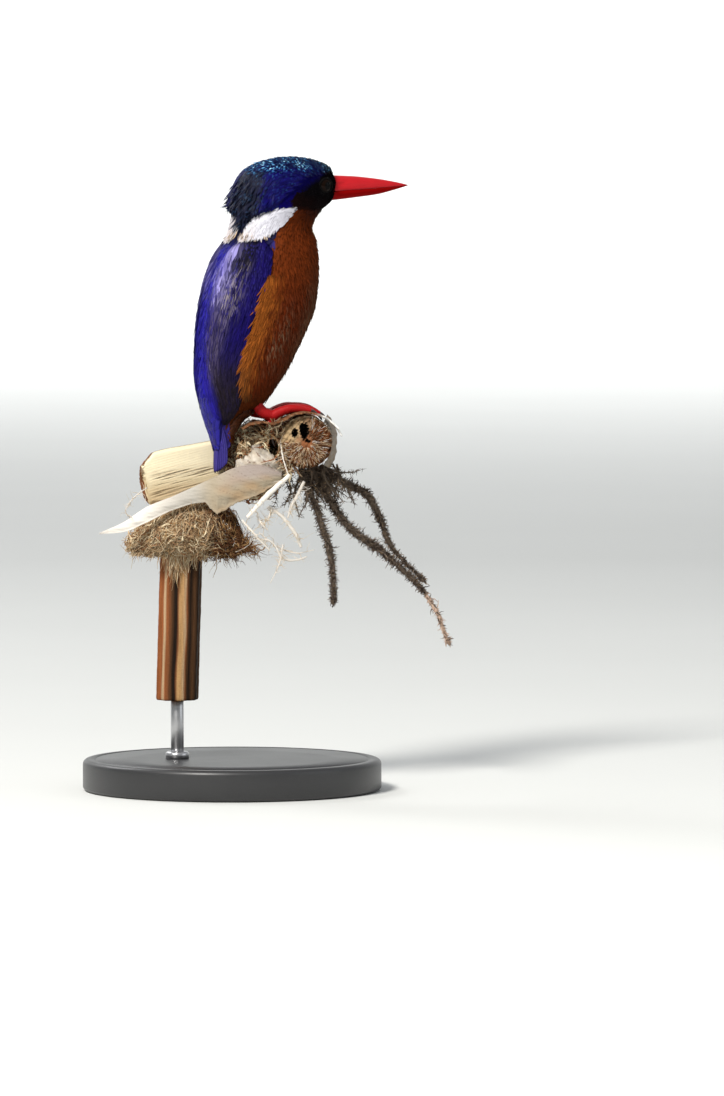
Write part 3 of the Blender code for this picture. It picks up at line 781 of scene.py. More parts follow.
def layBody():
    # the underparts out to a little past their edge, then the back from a little inside it
    rufous = plumageFinish("rufousPlumage", 0.75, 0.03), "feather_rufous"
    blue = plumageFinish("bluePlumage", 0.55, 0.05, fade=0.35), "feather_blue"
    for name, kind, low, high, spacing, short, look in (
        ("belly", "under", 111.8, 142.0, 0.53, (150, 178), rufous),
        ("breast", "under", 142.0, 178.5, 0.53, (150, 178), rufous),
        ("back", "back", 111.8, 178.8, 0.80, (158, 176), blue),
    ):
        heights, angles = scatterRoots(low, high, spacing)
        past = np.abs(angles) - blueFrom(heights)[0]
        keep = (past < 6 if kind == "under" else past >= -4) & ~wingCovers(heights, angles)
        heights, angles = heights[keep], angles[keep]
        roots, style = onBody(heights, angles), styleOf(kind)
        length, width = sizes(style, 1 - soft(heights, *short) * 0.9, len(roots))
        tint = markings(below(roots, 3.0))
        settle(layVanes(name + "Feathers", roots, length, width, style, skinGrow, -0.02, tint), *look)


def layFlanks():
    # long feathers that start in front of the wing's lower edge and slant back over it
    count, style = 2300, styleOf("flank")
    heights = rng.uniform(124.0, 159.0, count)
    side = np.where(rng.random(count) < 0.5, 1.0, -1.0)
    over = soft(heights, 126, 140) * (1 - soft(heights, 154, 160))
    ahead = 18 * rng.random(count) ** 1.2
    angles = side * (180 - wingAt(heights)[1] - ahead + 0.5 * over - 9 * (1 - soft(heights, 122, 134)))
    roots = onBody(heights, angles)
    points, normals = ontoBody(roots)
    back = unit(np.cross(normals, [0, 0, 1.0])) * -side[:, None]
    lie = unit(np.array([0, 0, -1.0]) + back * (0.06 + 0.40 * over * rng.uniform(0.6, 1.2, count))[:, None])
    length, width = sizes(style, soft(158 - heights, 0, 22), count)
    length = np.minimum(length, (heights - 118.0) * 0.8)
    # the low feathers, by the vent under the wing, are painted darker and mixed with dull olive: painted shade
    low = 1 - soft(heights, 126, 142)
    tint = np.array(tones["flank"]) * rng.uniform(0.65 - 0.2 * low, 1.25, count)[:, None]
    tint = blend(tint, tones["oliveShade"], low * rng.uniform(0.2, 0.9, count))
    tint = blend(tint, markings(points), soft(ahead + rng.normal(0, 2.5, count), 6, 15))
    tint = tint * (1 - 0.35 * (1 - soft(heights, 124, 133)))[:, None]
    piece = layVanes("flankFeathers", roots, length, width, style, growOverWing, 0.45, tint, level(lie, normals))
    settle(piece, plumageFinish("flankPlumage", 0.75, 0.03), "feather_rufous")


def layFace():
    heights, angles = scatterRoots(177.2, 192.0, 0.40)
    roots, style = onBody(heights, angles), styleOf("face")
    length, width = sizes(style, 1 - soft(bodyCoords(roots)[0], -0.2, 0.95), len(roots))
    reach = lieOf(*ontoBody(roots)) * length[:, None]
    keep = (heights < crestEdge(angles)[0] + 1.0) & clearOfEyes(roots, 3.0) & clearOfEyes(roots + reach, 2.75)
    roots, length, width = roots[keep], length[keep], width[keep]
    tint = markings(ontoBody(roots + reach[keep] * 0.7)[0])
    piece = layVanes("faceFeathers", roots, length, width, style, skinGrow, -0.02, tint)
    settle(piece, plumageFinish("facePlumage", 0.7, 0.02), "feather_rufous")


def crownBars(made, paint, along, across, tone):
    # two pale blue bars across each dark vane, bent towards its tip; on the most barred vanes, high on the crown, the
    # bars turn ice white as a painted highlight
    at = along + across.size() * 0.06 + tone * 0.05
    bars = at.between(0.74, 0.79) * (1 - at.between(0.87, 0.92))
    bright = made.mix(made.data("barred").between(0.45, 0.9), tones["turquoise"], tones["ice"])
    return made.mix(bars * made.data("barred"), paint, bright)


def layCrown():
    heights, angles = scatterRoots(175.0, 194.0, 0.50)
    edge, behind = crestEdge(angles)
    roots, style = onBody(heights, angles), styleOf("crown")
    keep = (heights > edge - 0.2 + 0.8 * behind) & clearOfEyes(roots, 3.1)
    heights, roots = heights[keep], roots[keep]
    back = -bodyCoords(roots)[0]
    length, width = sizes(style, soft(back, -0.9, 0.7), len(roots))
    lie = lieOf(*ontoBody(roots))

    def under(share):
        # the skin under a share of each vane's length
        return ontoBody(roots + lie * length[:, None] * share)[0]

    # vanes that reach over the white patch are shortened, and those that still do are left out
    for _ in range(3):
        length = length * np.where(patchShare(under(1)) > 0.25, 0.65, 1)
    keep = (patchShare(roots) < 0.3) & (patchShare(under(1)) < 0.6)
    heights, back, roots, lie, length, width = (part[keep] for part in (heights, back, roots, lie, length, width))
    shaggy = soft(back, 0.45, 0.95) * (1 - soft(heights, 187, 192))
    for key, more in (("swerve", 0.08), ("lift", 0.85), ("unruly", 0.16)):
        style[key] = style[key] + more * shaggy
    # the bars fade out towards the crest's edge, and show on about half the vanes
    barAt = under(0.85)
    ahead = bodyCoords(barAt)[0]
    rise = barAt[:, 2] + 0.9 * soft(-ahead, 0.45, 0.95) + 1.6 * soft(ahead, 0.0, 0.7)
    chance = rng.random(len(roots))
    patchy = np.clip(0.65 + 0.8 * ripple(roots, 1.6, 7.0), 0, 1) * np.where(chance < 0.5, 1.1 - chance, 0.12)
    barred = (0.04 + 0.96 * soft(rise, 188.6, 191.2)) * patchy * (1 - 0.3 * soft(ahead, -0.1, 0.7))
    tint = markings(under(0.6))
    piece = layVanes("crownFeathers", roots, length, width, style, skinGrow, -0.03, tint, barred=barred)
    settle(piece, plumageFinish("crownPlumage", 0.5, 0.08, crownBars, 0.4), "feather_crown", "crest")


def patchGrow(points):
    return np.maximum(skinGrow(points) + 0.28, growOverWing(points) + 0.3)


def layPatch():
    heights, angles = scatterRoots(170.0, 180.2, 0.33)
    roots, style = onBody(heights, angles), styleOf("patch")
    keep = (patchShare(roots) > 0.35) & (patchShare(below(roots, 1.7)) > 0.2)
    heights, angles = heights[keep], angles[keep]
    white = len(heights)
    # a few cream feathers hang below it, on the shoulder and beside the spine
    for low, high, near, far, count in (
        (170.6, 172.0, 116, 134, 16), (171.2, 173.0, 172, 180, 30), (171.4, 172.6, 138, 160, 40),
    ):
        heights = np.r_[heights, rng.uniform(low, high, count)]
        angles = np.r_[angles, rng.uniform(near, far, count) * rng.choice([-1, 1], count)]
    count, round_ = len(heights), np.abs(angles)
    hanging = np.arange(count) >= white
    length, width = sizes(style, soft(round_, 90, 150), count)
    length = length * np.where(hanging, 0.75, 1.0)
    for key, more in (("swerve", 0.12), ("lift", 0.25)):
        style[key] = style[key] + more * hanging
    stain = np.where(hanging, rng.uniform(0.4, 1.0, count), 0.35 * rng.random(count) * soft(round_, 135, 160))
    paint = blend(tones["white"], tones["cream"], stain)
    paint = paint * np.where(hanging, rng.uniform(0.25, 0.95, count), 1.0)[:, None]
    piece = layVanes("neckPatch", onBody(heights, angles), length, width, style, patchGrow, 0.0, paint)
    settle(piece, plumageFinish("whitePlumage", 0.65, 0.15, fade=0.07), "feather_rufous")


layBody()
layFace()
layCrown()
print("stage: plumage")


# long feathers

def layQuills(name, line, out, width, tint, home, tip, camber, thick, roll=0.0, shaftAt=0.0):
    # Long vanes along given lines. Each section has five points over and three under, its edges drooping by the
    # camber times the offset ** 1.5. The breadth grows over the root and closes at the tip as an ellipse does.
    count, stations = line.shape[:2]
    s = np.linspace(0, 1, stations)
    tipFrom, tipPower = tip
    close = np.clip((s - tipFrom) / (1 - tipFrom), 0, 1)
    breadth = (0.55 + 0.45 * soft(s, 0, 0.3)) * np.sqrt(np.maximum(1 - close ** tipPower, 0))
    side = unit(np.cross(out, unit(np.gradient(line, axis=1))))
    c, r = math.cos(math.radians(roll)), math.sin(math.radians(roll))
    side, up = side * c + out * r, out * c - side * r
    x = np.array([-1, -0.5, 0, 0.5, 1, 0.5, 0, -0.5])
    under, shaft = np.array([0, 0, 0, 0, 0, 1, 1, 1]), np.array([0, 0, 1, 0, 0, 0, 0, 0])
    half = (width[:, None] * breadth / 2)[..., None]
    edge = 1 + rng.uniform(-0.05, 0.03, (count, stations, 8)) * (np.abs(x) == 1)
    offset = half * (x * edge + shaftAt * (1 - np.abs(x)))
    drop = camber * half * np.abs(x) ** 1.5 + thick * (under - 0.6 * shaft)
    rings = (line[:, :, None] + side[:, :, None] * offset[..., None] - up[:, :, None] * drop[..., None])[:, :-1]
    ends = np.stack([rings[:, 0].mean(1), line[:, -1]], 1)
    points = np.concatenate([rings.reshape(count, -1, 3), ends], 1)
    faceSizes, faceCorners = ringFaces(stations - 1, 8)
    piece = addMany(name, points, faceSizes[::-1], faceCorners[::-1])
    along, across = np.r_[np.repeat(s[:-1], 8), 0.0, 1.0], np.r_[np.tile(x, stations - 1), 0.0, 0.0]
    dressVanes(piece, home, along, across, tint(points.reshape(-1, 3)) if callable(tint) else tint)
    return piece


def quillFinish(name, rough, edgeTone):
    # the tint, darker along the shaft, with soft streaks down the web, a paler rim and fine slanting barbs
    made = Maker(name, Specular_IOR_Level=0.06)
    along, across, tone = made.data("along"), made.data("across"), made.data("tone")
    barbs = (along * 260 + across.size() * 34).wave()
    streaks = made.noise(made.place((1, 1, 0.10)), 1700, 3, 0.6)
    shade = 0.78 + tone * 0.30 + barbs * 0.06 + (streaks - 0.5) * 0.5
    shade = shade * (1 - (1 - across.size().between(0.0, 0.10)) * 0.3)
    rim = across.size().between(0.70, 0.98) * along.between(0.3, 0.7)
    made.colour(made.mix(rim * 0.35, made.tinted(shade), edgeTone))
    made.rough(rough + tone * 0.15)
    made.bump(barbs + streaks * 2 + (1 - across.size().between(0, 0.12)) * 3, 0.02, 0.6)
    return made.material


wingTones = {
    "deep": (0.009, 0.006, 0.065), "front": (0.006, 0.003, 0.070), "rear": (0.016, 0.011, 0.210),
    "grey": (0.070, 0.056, 0.115), "dusk": (0.013, 0.009, 0.013), "lavenderHighlight": (0.270, 0.240, 0.520),
    "beige": (0.200, 0.170, 0.180), "dark": (0.005, 0.004, 0.010), "edge": (0.034, 0.028, 0.150),
    "spot": (0.022, 0.017, 0.180),
}


def wingRise(heights, share):
    _, _, thick = wingAt(heights)
    return wing["gap"] + wing["rim"] + (thick - wing["rim"]) * np.sin(math.pi * np.clip(share, 0, 1)) ** 0.6


def onWing(side, heights, share, stack=0.0):
    inner, outer, _ = wingAt(heights)
    return onBody(heights, side * (180 - inner - (outer - inner) * share), wingRise(heights, share) + stack)


def wingShare(points):
    inner, outer, _ = wingAt(points[..., 2])
    return (180 - np.abs(bodyAngle(points)) - inner) / (outer - inner)


def growOverWing(points):
    # the wing's own height where a vane lies on it, running down to the skin beside it
    share, z = wingShare(points), points[..., 2]
    on = soft(share, -0.30, 0.02) * (1 - soft(share, 0.98, 1.2)) * soft(z, 112.5, 116) * (1 - soft(z, 168.0, 170.5))
    return -0.35 + on * (wingRise(z, share) + 0.15)


def wingPaint(points, streak):
    # the wing's colour by height and share; a streak from 0 to 1 picks how much of each pale tone shows
    share, z = wingShare(points), points[..., 2]
    pick = soft(streak, 0.35, 0.9)
    greyBand = soft(share, 0.02, 0.14) * (1 - soft(share, 0.35, 0.6)) * soft(z, 120, 130) * (1 - soft(z, 150, 157))
    return layered(
        wingTones, np.zeros(points.shape) + wingTones["deep"],
        ("front", soft(share, 0.45, 0.75) * soft(z, 128, 140)),
        ("rear", 1 - soft(share, 0.02, 0.24)),
        ("grey", greyBand * (0.25 + 0.75 * pick)),
        ("dusk", (1 - soft(z, 124, 141)) * soft(share, 0.16, 0.34) * (1 - 0.22 * pick)),
        # lavender high on the wing's inner part: its own paler violet with a painted highlight
        ("lavenderHighlight", soft(z, 146, 156) * (1 - soft(share, 0.30, 0.52)) * (0.22 + 0.78 * pick)),
        ("beige", speck((share, z), (0.16, 6), (0.46, 152.5)) * pick),
        # a dark band high on the wing beside the scapulars: painted shade in the gap between them
        ("dark", soft(z, 157.5, 162.5) * soft(share, 0.22, 0.34) * (1 - soft(share, 0.60, 0.80)) * 0.9),
        ("beige", speck((share, z), (0.10, 3), (0.55, 160)) * pick * 0.7),
    )


def buildWingCore(side, name):
    # a thin closed bed under the feathers, with the folded wing's outline
    z, share = np.broadcast_arrays(np.linspace(112.6, 169.3, 40)[:, None], np.linspace(0.02, 0.98, 14))
    inner, outer, _ = wingAt(z)
    angle = side * (180 - inner - (outer - inner) * share)
    over = onBody(z, angle, np.maximum(wingRise(z, share) - 0.55, 0.25))
    grid = np.concatenate([over, onBody(z, angle, 0.02)[:, ::-1]], 1)[:, ::-side]
    piece = loftPieces("wingBed" + name.capitalize(), [grid])
    every = withEnds(grid)
    setPointData(piece, "tint", wingPaint(every, np.full(len(every), 0.4)))
    finish = downFinish("wingDown" + name.capitalize(), (1, 1, 0.2), 1500, 0.4, 1, 0.1)
    settle(piece, finish, "feather_blue", "wing_" + name)


def wingLines(side, rootZ, tipZ, rootShare, tipShare, stack, bow):
    # straight runs in height and share, bowed outwards in the middle, and the body's normals under them
    s = np.linspace(0, 1, 16)[None]
    z = rootZ[:, None] + (tipZ - rootZ)[:, None] * s
    share = rootShare[:, None] + (tipShare - rootShare)[:, None] * s ** 1.2 + bow * np.sin(math.pi * s)
    line = onWing(side, z, share, stack[:, None] + 0.12 * (s - 0.3))
    return line, ontoBody(line)[1]


quills = [
    # name, count, heights of the roots and of the tips, shares of the roots and of the tips, stack, width, tip
    ("primaries", 9, (149, 152), (112.4, 127.0), (0.70, 0.97), (0.42, 0.93), -0.42, (3.6, 3.0), 0.86),
    ("secondaries", 9, (151, 154), (124.0, 134.0), (0.12, 0.90), (0.20, 0.93), -0.22, (3.6, 3.2), 0.82),
    ("greaterCoverts", 14, (157, 157), (141.5, 145.5), (0.06, 0.96), (0.08, 0.97), -0.10, (2.4, 2.2), 0.60),
    ("medianCoverts", 16, (162, 161), (148.5, 151.5), (0.05, 0.97), (0.07, 0.98), -0.02, (2.1, 2.0), 0.55),
]


def run(ends, share):
    return ends[0] + (ends[1] - ends[0]) * share


def buildWing(side, name):
    buildWingCore(side, name)
    label = name.capitalize()
    finish = quillFinish("wingQuills" + label, 0.5, wingTones["edge"])

    def paint(points):
        place = places(wingShare(points) * 26, 0.0, points[..., 2] * 0.12)
        return wingPaint(points, 0.5 + 0.5 * ripple(place, 1.0, 3.0 + side))

    def lay(title, lines, *looks):
        settle(layQuills(title + label, *lines, looks[0], paint, lines[0][:, 0], *looks[1:]), finish, "feather_blue")

    for title, count, rootZ, tipZ, rootShare, tipShare, stack, width, tipFrom in quills:
        t = np.linspace(0, 1, count)
        jitter = rng.uniform(-1, 1, (4, count))
        tips = run(tipZ, t ** 0.8) + jitter[0] * 0.35, run(tipShare, t) + jitter[1] * 0.008
        lines = wingLines(side, run(rootZ, t), tips[0], run(rootShare, t), tips[1], stack - 0.16 * t, 0.02)
        lay(title, lines, run(width, t), (tipFrom, 2.2), 0.10, 0.07, 5.0 * side, 0.2 * side)
    # tertials lie over the inner webs of the secondaries
    t = np.linspace(0, 1, 5)
    lines = wingLines(side, 160 - 2 * t, 131 + 7 * t, 0.02 + 0.18 * t, 0.10 + 0.22 * t, 0.10 - 0.12 * t, 0.03)
    lay("tertials", lines, 3.6 - 0.2 * t, (0.8, 2.0), 0.14, 0.07, 4.0 * side)


def layWingPlumes():
    # thin loosened barbs along the whole wing, each lying towards the same share lower down
    count, style = 4900, styleOf("plume")
    side = rng.choice([-1, 1], count)
    share = rng.uniform(-0.24, 0.93, count)
    heights = 167.5 - 50 * rng.random(count) ** 0.9
    roots = onWing(side, heights, share)
    lie = level(onWing(side, heights - 5, share) - roots, ontoBody(roots)[1])
    length = np.minimum(rng.uniform(*style["length"], count), (heights - 113.0) * 0.9)
    seen = onWing(side, heights - length * 0.5, share)
    tint = wingPaint(seen, rng.random(count)) * rng.uniform(0.6, 1.35, (count, 1))
    width = rng.uniform(*style["width"], count)
    piece = layVanes("wingPlumes", roots, length, width, style, growOverWing, 0.30, tint, lie)
    settle(piece, plumageFinish("plumeFinish", 0.6, 0.04, fade=0.2), "feather_blue")


def covertSpots(made, paint, along, across, tone):
    # a brighter blue spot near the end of each small covert
    spot = along.between(0.62, 0.85) * (1 - across.size().between(0.5, 0.95)) * (0.35 + tone * 0.65)
    return made.mix(spot * 0.5, paint, wingTones["spot"])


def layLesserCoverts():
    roots, style = onBody(*scatterRoots(150.0, 170.2, 0.80)), styleOf("covert")
    share = wingShare(roots)
    roots = roots[(share > -0.03) & (share < 1.03)]
    count = len(roots)
    tint = wingPaint(roots - [0, 0, 2.0], rng.random(count)) * rng.uniform(0.65, 1.3, (count, 1))
    length, width = rng.uniform(*style["length"], count), rng.uniform(*style["width"], count)
    piece = layVanes("lesserCoverts", roots, length, width, style, growOverWing, 0.12, tint)
    settle(piece, plumageFinish("covertPlumage", 0.55, 0.05, covertSpots, 0.3), "feather_blue")


def layScapulars():
    heights, angles = scatterRoots(136.0, 168.5, 0.85)
    roots, style = onBody(heights, angles), styleOf("scapular")
    share = wingShare(roots)
    roots = roots[(share < 0.20) & (share > -0.42) & (heights > 138 + 9 * soft(share, -0.1, 0.2))]
    count, seen = len(roots), below(roots, 4.0)
    share = wingShare(seen)
    tint = blend(markings(seen), wingPaint(seen, rng.random(count)), soft(share, -0.1, 0.1))
    # pale scapulars take lavender: their own paler violet with a painted highlight
    pale = soft(seen[:, 2], 148, 160) * (1 - soft(share, 0.1, 0.25)) * rng.random(count) ** 2
    tint = blend(tint, wingTones["lavenderHighlight"], 0.6 * pale) * rng.uniform(0.6, 1.3, (count, 1))
    length, width = rng.uniform(*style["length"], count), rng.uniform(*style["width"], count)
    piece = layVanes("scapulars", roots, length, width, style, growOverWing, 0.28, tint)
    settle(piece, plumageFinish("scapularPlumage", 0.55, 0.05, fade=0.35), "feather_blue")


for side, name in ((1, "left"), (-1, "right")):
    buildWing(side, name)
layLesserCoverts()
layScapulars()
layWingPlumes()
layFlanks()
layPatch()
print("stage: wings")


# tail

tail = {
    "length": (17.0, 14.6), "root": 114.6, "pairs": 6, "width": 3.3, "step": 0.78, "sink": 0.30,
    # height, back, and depth
    "levels": [
        (97.4, -18.4, 2.2), (101.0, -18.4, 2.8), (105.0, -18.3, 2.6),
        (109.0, -18.8, 2.3), (112.1, -19.6, 2.1), (116.0, -20.6, 2.0),
    ],
}
tailAt = smoothTable(tail["levels"])
tailTones = {"top": (0.042, 0.032, 0.21), "edge": (0.085, 0.072, 0.34)}


def buildTail():
    # pairs of straight feathers stacked like a shut fan, the middle pair outermost on the back
    pair, hand = np.repeat(np.arange(tail["pairs"]), 2)[:, None], np.tile([1, -1], tail["pairs"])[:, None]
    length = run(tail["length"], (pair / (tail["pairs"] - 1)) ** 1.5)
    s = np.linspace(0, 1, 18)[None]
    z = tail["root"] - length * s
    x = form["neckX"] + tailAt(z)[0] + 0.12 + tail["sink"] * pair + 0.06 * (hand > 0)
    line = places(x, hand * (0.55 + tail["step"] * pair * (0.75 + 0.35 * s)), z)
    lean = hand[..., None] * np.array([0, 1.0, 0]) * 0.10 * pair[..., None] / 3
    out = unit(np.broadcast_to(unit(np.array([-1.0, 0, 0.05])), line.shape) + lean)
    tint = np.array(tailTones["top"]) * rng.uniform(0.85, 1.15, (len(pair), 1))
    width, home = np.full(len(pair), tail["width"]), ontoBody(line[:, 0])[0]
    piece = layQuills("tailFeathers", line, out, width, tint, home, (0.86, 2.0), 0.12, 0.08)
    settle(piece, quillFinish("tailFinish", 0.45, tailTones["edge"]), "feather_blue", "tail")


def layTailCoverts():
    # soft feathers that run from the rump and the vent over the tail's root
    for name, low, high, front, lengths in (
        ("rumpCoverts", 112.6, 121.0, False, (6.0, 8.5)), ("ventCoverts", 112.2, 118.0, True, (4.5, 6.0)),
    ):
        heights, angles = scatterRoots(low, high, 0.85)
        keep = (np.abs(angles) < 75) if front else (np.abs(angles) > 128)
        roots = onBody(heights[keep], angles[keep])
        count, normal = len(roots), ontoBody(roots)[1][:, None]
        s = np.linspace(0, 1, 12)[None]
        z = roots[:, 2:] - rng.uniform(*lengths, count)[:, None] * s
        back, deep = tailAt(z)
        centre = form["neckX"] + (back + deep * (1.0 if front else 0.25))
        x = roots[:, :1] + (centre - roots[:, :1]) * (soft(s, 0.15, 1.0) * 0.9) * (0.75 if front else 1)
        y = roots[:, 1:2] * (1 - 0.45 * soft(s, 0.1, 1.0))
        line = places(x, y, z) + normal * (0.1 + 0.3 * s[..., None])
        seen = markings(below(roots, 1.5))
        paint = seen if front else np.tile(tones["back"], (count, 1)) * rng.uniform(0.7, 1.1, (count, 1))
        width, out = rng.uniform(1.5, 2.0, count), unit(np.broadcast_to(normal, line.shape))
        piece = layQuills(name, line, out, width, paint, roots, (0.7, 1.7), 0.15, 0.05)
        settle(piece, plumageFinish(name + "Finish", 0.5, 0.2), "feather_rufous" if front else "feather_blue")


buildTail()
layTailCoverts()
print("stage: tail")


# swept and scattered forms


def smoothPath(rows, stations):
    # a cubic through rows of numbers, evenly shared between them
    rows = np.array(rows, float)
    at = smoothTable(np.c_[np.arange(len(rows)), rows])
    return np.moveaxis(at(np.linspace(0, len(rows) - 1, stations)), 0, -1)


def sweep(rows, stations, around, shape=None, reference=(0, 1, 0)):
    # rings of the path's radius, times shape(turn, share), square to the path
    path = smoothPath(rows, stations)
    line, radius = path[:, :3], path[:, 3:]
    ahead = unit(np.gradient(line, axis=0))
    side = unit(np.cross(ahead, np.array(reference, float)))
    up = np.cross(ahead, side)
    turn, share = turns(around)[None], np.linspace(0, 1, stations)[:, None]
    reach = radius * (shape(turn, share) if shape else 1.0) * np.ones_like(turn)
    spoke = np.cos(turn)[..., None] * side[:, None] + np.sin(turn)[..., None] * up[:, None]
    return line[:, None] + reach[..., None] * spoke


def hoop(name, grid, flip=1):
    # a closed tube, whose last row of points joins on to its first
    rows, around = grid.shape[:2]
    faceSizes, faceCorners = ringFaces(rows + 1, around, False, False)
    return addMesh(name, grid.reshape(-1, 3), faceSizes, (faceCorners % (rows * around))[::flip])


def layStrands(name, line, thick, tint, finish, slotName="reed_fibre", sides=3, flat=1.0):
    # thin closed strands that taper to 0.3 of their thickness: line is strand x station x 3; flat widens them
    count, stations = line.shape[:2]
    radius = thick[:, None] * (1 - 0.7 * np.linspace(0, 1, stations)[None] ** 1.5)
    ahead = unit(np.gradient(line, axis=1))
    side = unit(np.cross(ahead, unit(rng.normal(size=(count, 1, 3)))))
    up = np.cross(ahead, side)
    turn = turns(sides)[:, None]
    spoke = flat * np.cos(turn) * side[:, :, None] + np.sin(turn) * up[:, :, None]
    rings = line[:, :, None] + radius[..., None, None] * spoke
    ends = np.stack([rings[:, 0].mean(1), rings[:, -1].mean(1)], 1)
    points = np.concatenate([rings.reshape(count, -1, 3), ends], 1)
    piece = addMany(name, points, *ringFaces(stations, sides))
    setPointData(piece, "tint", np.repeat(tint, points.shape[1], 0))
    setPointData(piece, "along", np.tile(np.r_[np.repeat(np.linspace(0, 1, stations), sides), 0, 1], count))
    return settle(piece, finish, slotName)


def curled(roots, heading, length, stations, curl, wave, about=None):
    # strands that start along their headings and bend by the curl, about given lines or chance ones, with a slight wave
    count = len(roots)
    s = np.linspace(0, 1, stations)[None, :, None]
    heading = unit(heading)[:, None]
    about = rng.normal(size=(count, 1, 3)) if about is None else about[:, None]
    bend = unit(np.cross(heading, about))
    other = np.cross(heading, bend)
    curl = rng.normal(0, curl, (count, 1, 1))
    phase = rng.uniform(0, 6.3, (count, 1, 1))
    path = heading * s + bend * curl * s * s + other * wave * (np.sin(s * 7 + phase) - np.sin(phase))
    return roots[:, None] + path * length[:, None, None]


def barkFinish(name, stretch, scale, rough, depth, spread, **fixed):
    # the tint, broken up by streaks along the stretched axes and by fine specks
    made = Maker(name, **{"Specular_IOR_Level": 0.10, **fixed})
    streak = made.noise(made.place(stretch), scale, 4, 0.62, 0.3)
    fleck = made.noise(made.place(), scale * 2.5, 3, 0.6)
    made.colour(made.tinted(1 - spread * 0.75 + streak * spread * 1.1 + (fleck - 0.5) * spread * 0.8))
    made.rough(rough - 0.1 + fleck * 0.25)
    made.bump(streak * 0.8 + fleck * 0.4, depth)
    return made.material


# eyes

eyeLook = {
    "iris": 0.62, "pupil": 0.42, "bulge": 0.16, "bulgeTurn": 0.85, "forwards": 0.16,
    "lid": {"height": 1.62, "thick": 0.34, "corner": 0.45},
}


def eyeFrame(side):
    # the eye's middle, and its outward, forward and upward axes
    middle = turned(eye["reach"], side * eye["side"], eye["height"])
    ahead = turned(eye["reach"] + 1, side * eye["side"], eye["height"]) - middle
    out = turned(eye["reach"], side * (eye["side"] + 1), eye["height"]) - middle
    out = unit(out + eyeLook["forwards"] * ahead)
    return middle, out, unit(ahead - out * (ahead @ out)), np.array([0.0, 0.0, 1.0])


def eyeFinish():
    made = Maker("eyeGlass", Roughness=0.6, Specular_IOR_Level=0.0, Coat_Weight=0.12, Coat_Roughness=0.02)
    off = made.data("off")
    fleck = made.noise(made.place(), 3000, 3, 0.7)
    iris = made.mix(fleck, (0.003, 0.0012, 0.001), (0.009, 0.004, 0.002))
    tone = made.mix(off.between(eyeLook["pupil"], eyeLook["pupil"] + 0.04), (0.002, 0.002, 0.002), iris)
    tone = made.mix(off.between(eyeLook["iris"] + 0.16, eyeLook["iris"] + 0.32), tone, (0.003, 0.0025, 0.0025))
    made.colour(tone)
    return made.material


def buildEyes():
    glass = eyeFinish()
    skinNoise = (1, 1, 1), 4000, 2
    lidSkin = speckFinish(
        "lidSkin", skinNoise, (0.0022, 0.0020, 0.0022), (0.004, 0.0035, 0.0035), 0.05,
        Roughness=0.7, Specular_IOR_Level=0.05,
    )
    for side, name in ((1, "left"), (-1, "right")):
        middle, out, ahead, up = eyeFrame(side)
        # a ball by its angle off the outward axis, raised by the bulge times the cosine's excess over the bulge's edge
        off, turn = np.linspace(math.pi * 0.995, 0.01, 40)[:, None], turns(48)[None] * side
        edge = math.cos(eyeLook["bulgeTurn"])
        reach = eye["radius"] + eyeLook["bulge"] * np.maximum(0, (np.cos(off) - edge) / (1 - edge))
        ring = np.cos(turn)[..., None] * up + np.sin(turn)[..., None] * ahead
        ball = middle + reach[..., None] * (np.cos(off)[..., None] * out + np.sin(off)[..., None] * ring)
        piece = loftPieces("eye" + name.capitalize(), [ball], off=[off + 0 * turn])
        settle(piece, glass, "eye", "eye_" + name)
        # the lids: a round rim on the ball at a fixed height off its middle, drawn out a little at both corners
        lid, turn, around = eyeLook["lid"], turns(72)[:, None], turns(12)[None]
        high = lid["height"] - 0.12 * np.sin(turn) ** 2
        reach = np.sqrt(eye["radius"] ** 2 - high ** 2) + 0.06 + lid["corner"] * np.sin(turn) ** 8
        thick = lid["thick"] * (1 + 0.10 * np.sin(turn * 22) + 0.25 * np.cos(turn))
        spoke = np.cos(turn)[..., None] * up + np.sin(turn)[..., None] * ahead
        rise, flare = high + thick * np.sin(around) * 0.8, reach + thick * np.cos(around)
        rim = middle + rise[..., None] * out + flare[..., None] * spoke
        settle(hoop("lids" + name.capitalize(), rim, -side), lidSkin, "feather_rufous")


buildEyes()
print("stage: eyes")


# bill

bill = {
    # reach, culmen, mouth, gonys, half width
    "rows": [
        (18.6, 188.9, 183.75, 180.9, 3.65), (24, 188.7, 184, 181.1, 3.3), (32, 188.3, 184.3, 181.8, 2.7),
        (40.5, 187.4, 184.7, 182.7, 1.9), (46.3, 186.5, 185, 183.9, 1.15), (50, 185.8, 185.2, 184.8, 0.55),
        (51.2, 185.5, 185.25, 185.1, 0.28), (51.6, 185.34, 185.26, 185.2, 0.1),
    ],
    "gap": 0.05, "ridge": 0.16, "hollow": 0.25,
    # reach, height, half length, half height, depth
    "nostril": (24.6, 186.1, 1.5, 0.36, 0.45),
    # tone, gloss, roughness
    # the lower half's tone, darker than the upper's, is painted shade on the bill's underside
    "upper": ((0.52, 0.014, 0.020), 0.07, 0.30), "lower": ((0.24, 0.0015, 0.0015), 0.008, 0.42),
    "base": (0.16, 0.008, 0.010), "tip": (0.10, 0.02, 0.015),
}
billAt = smoothTable(bill["rows"])


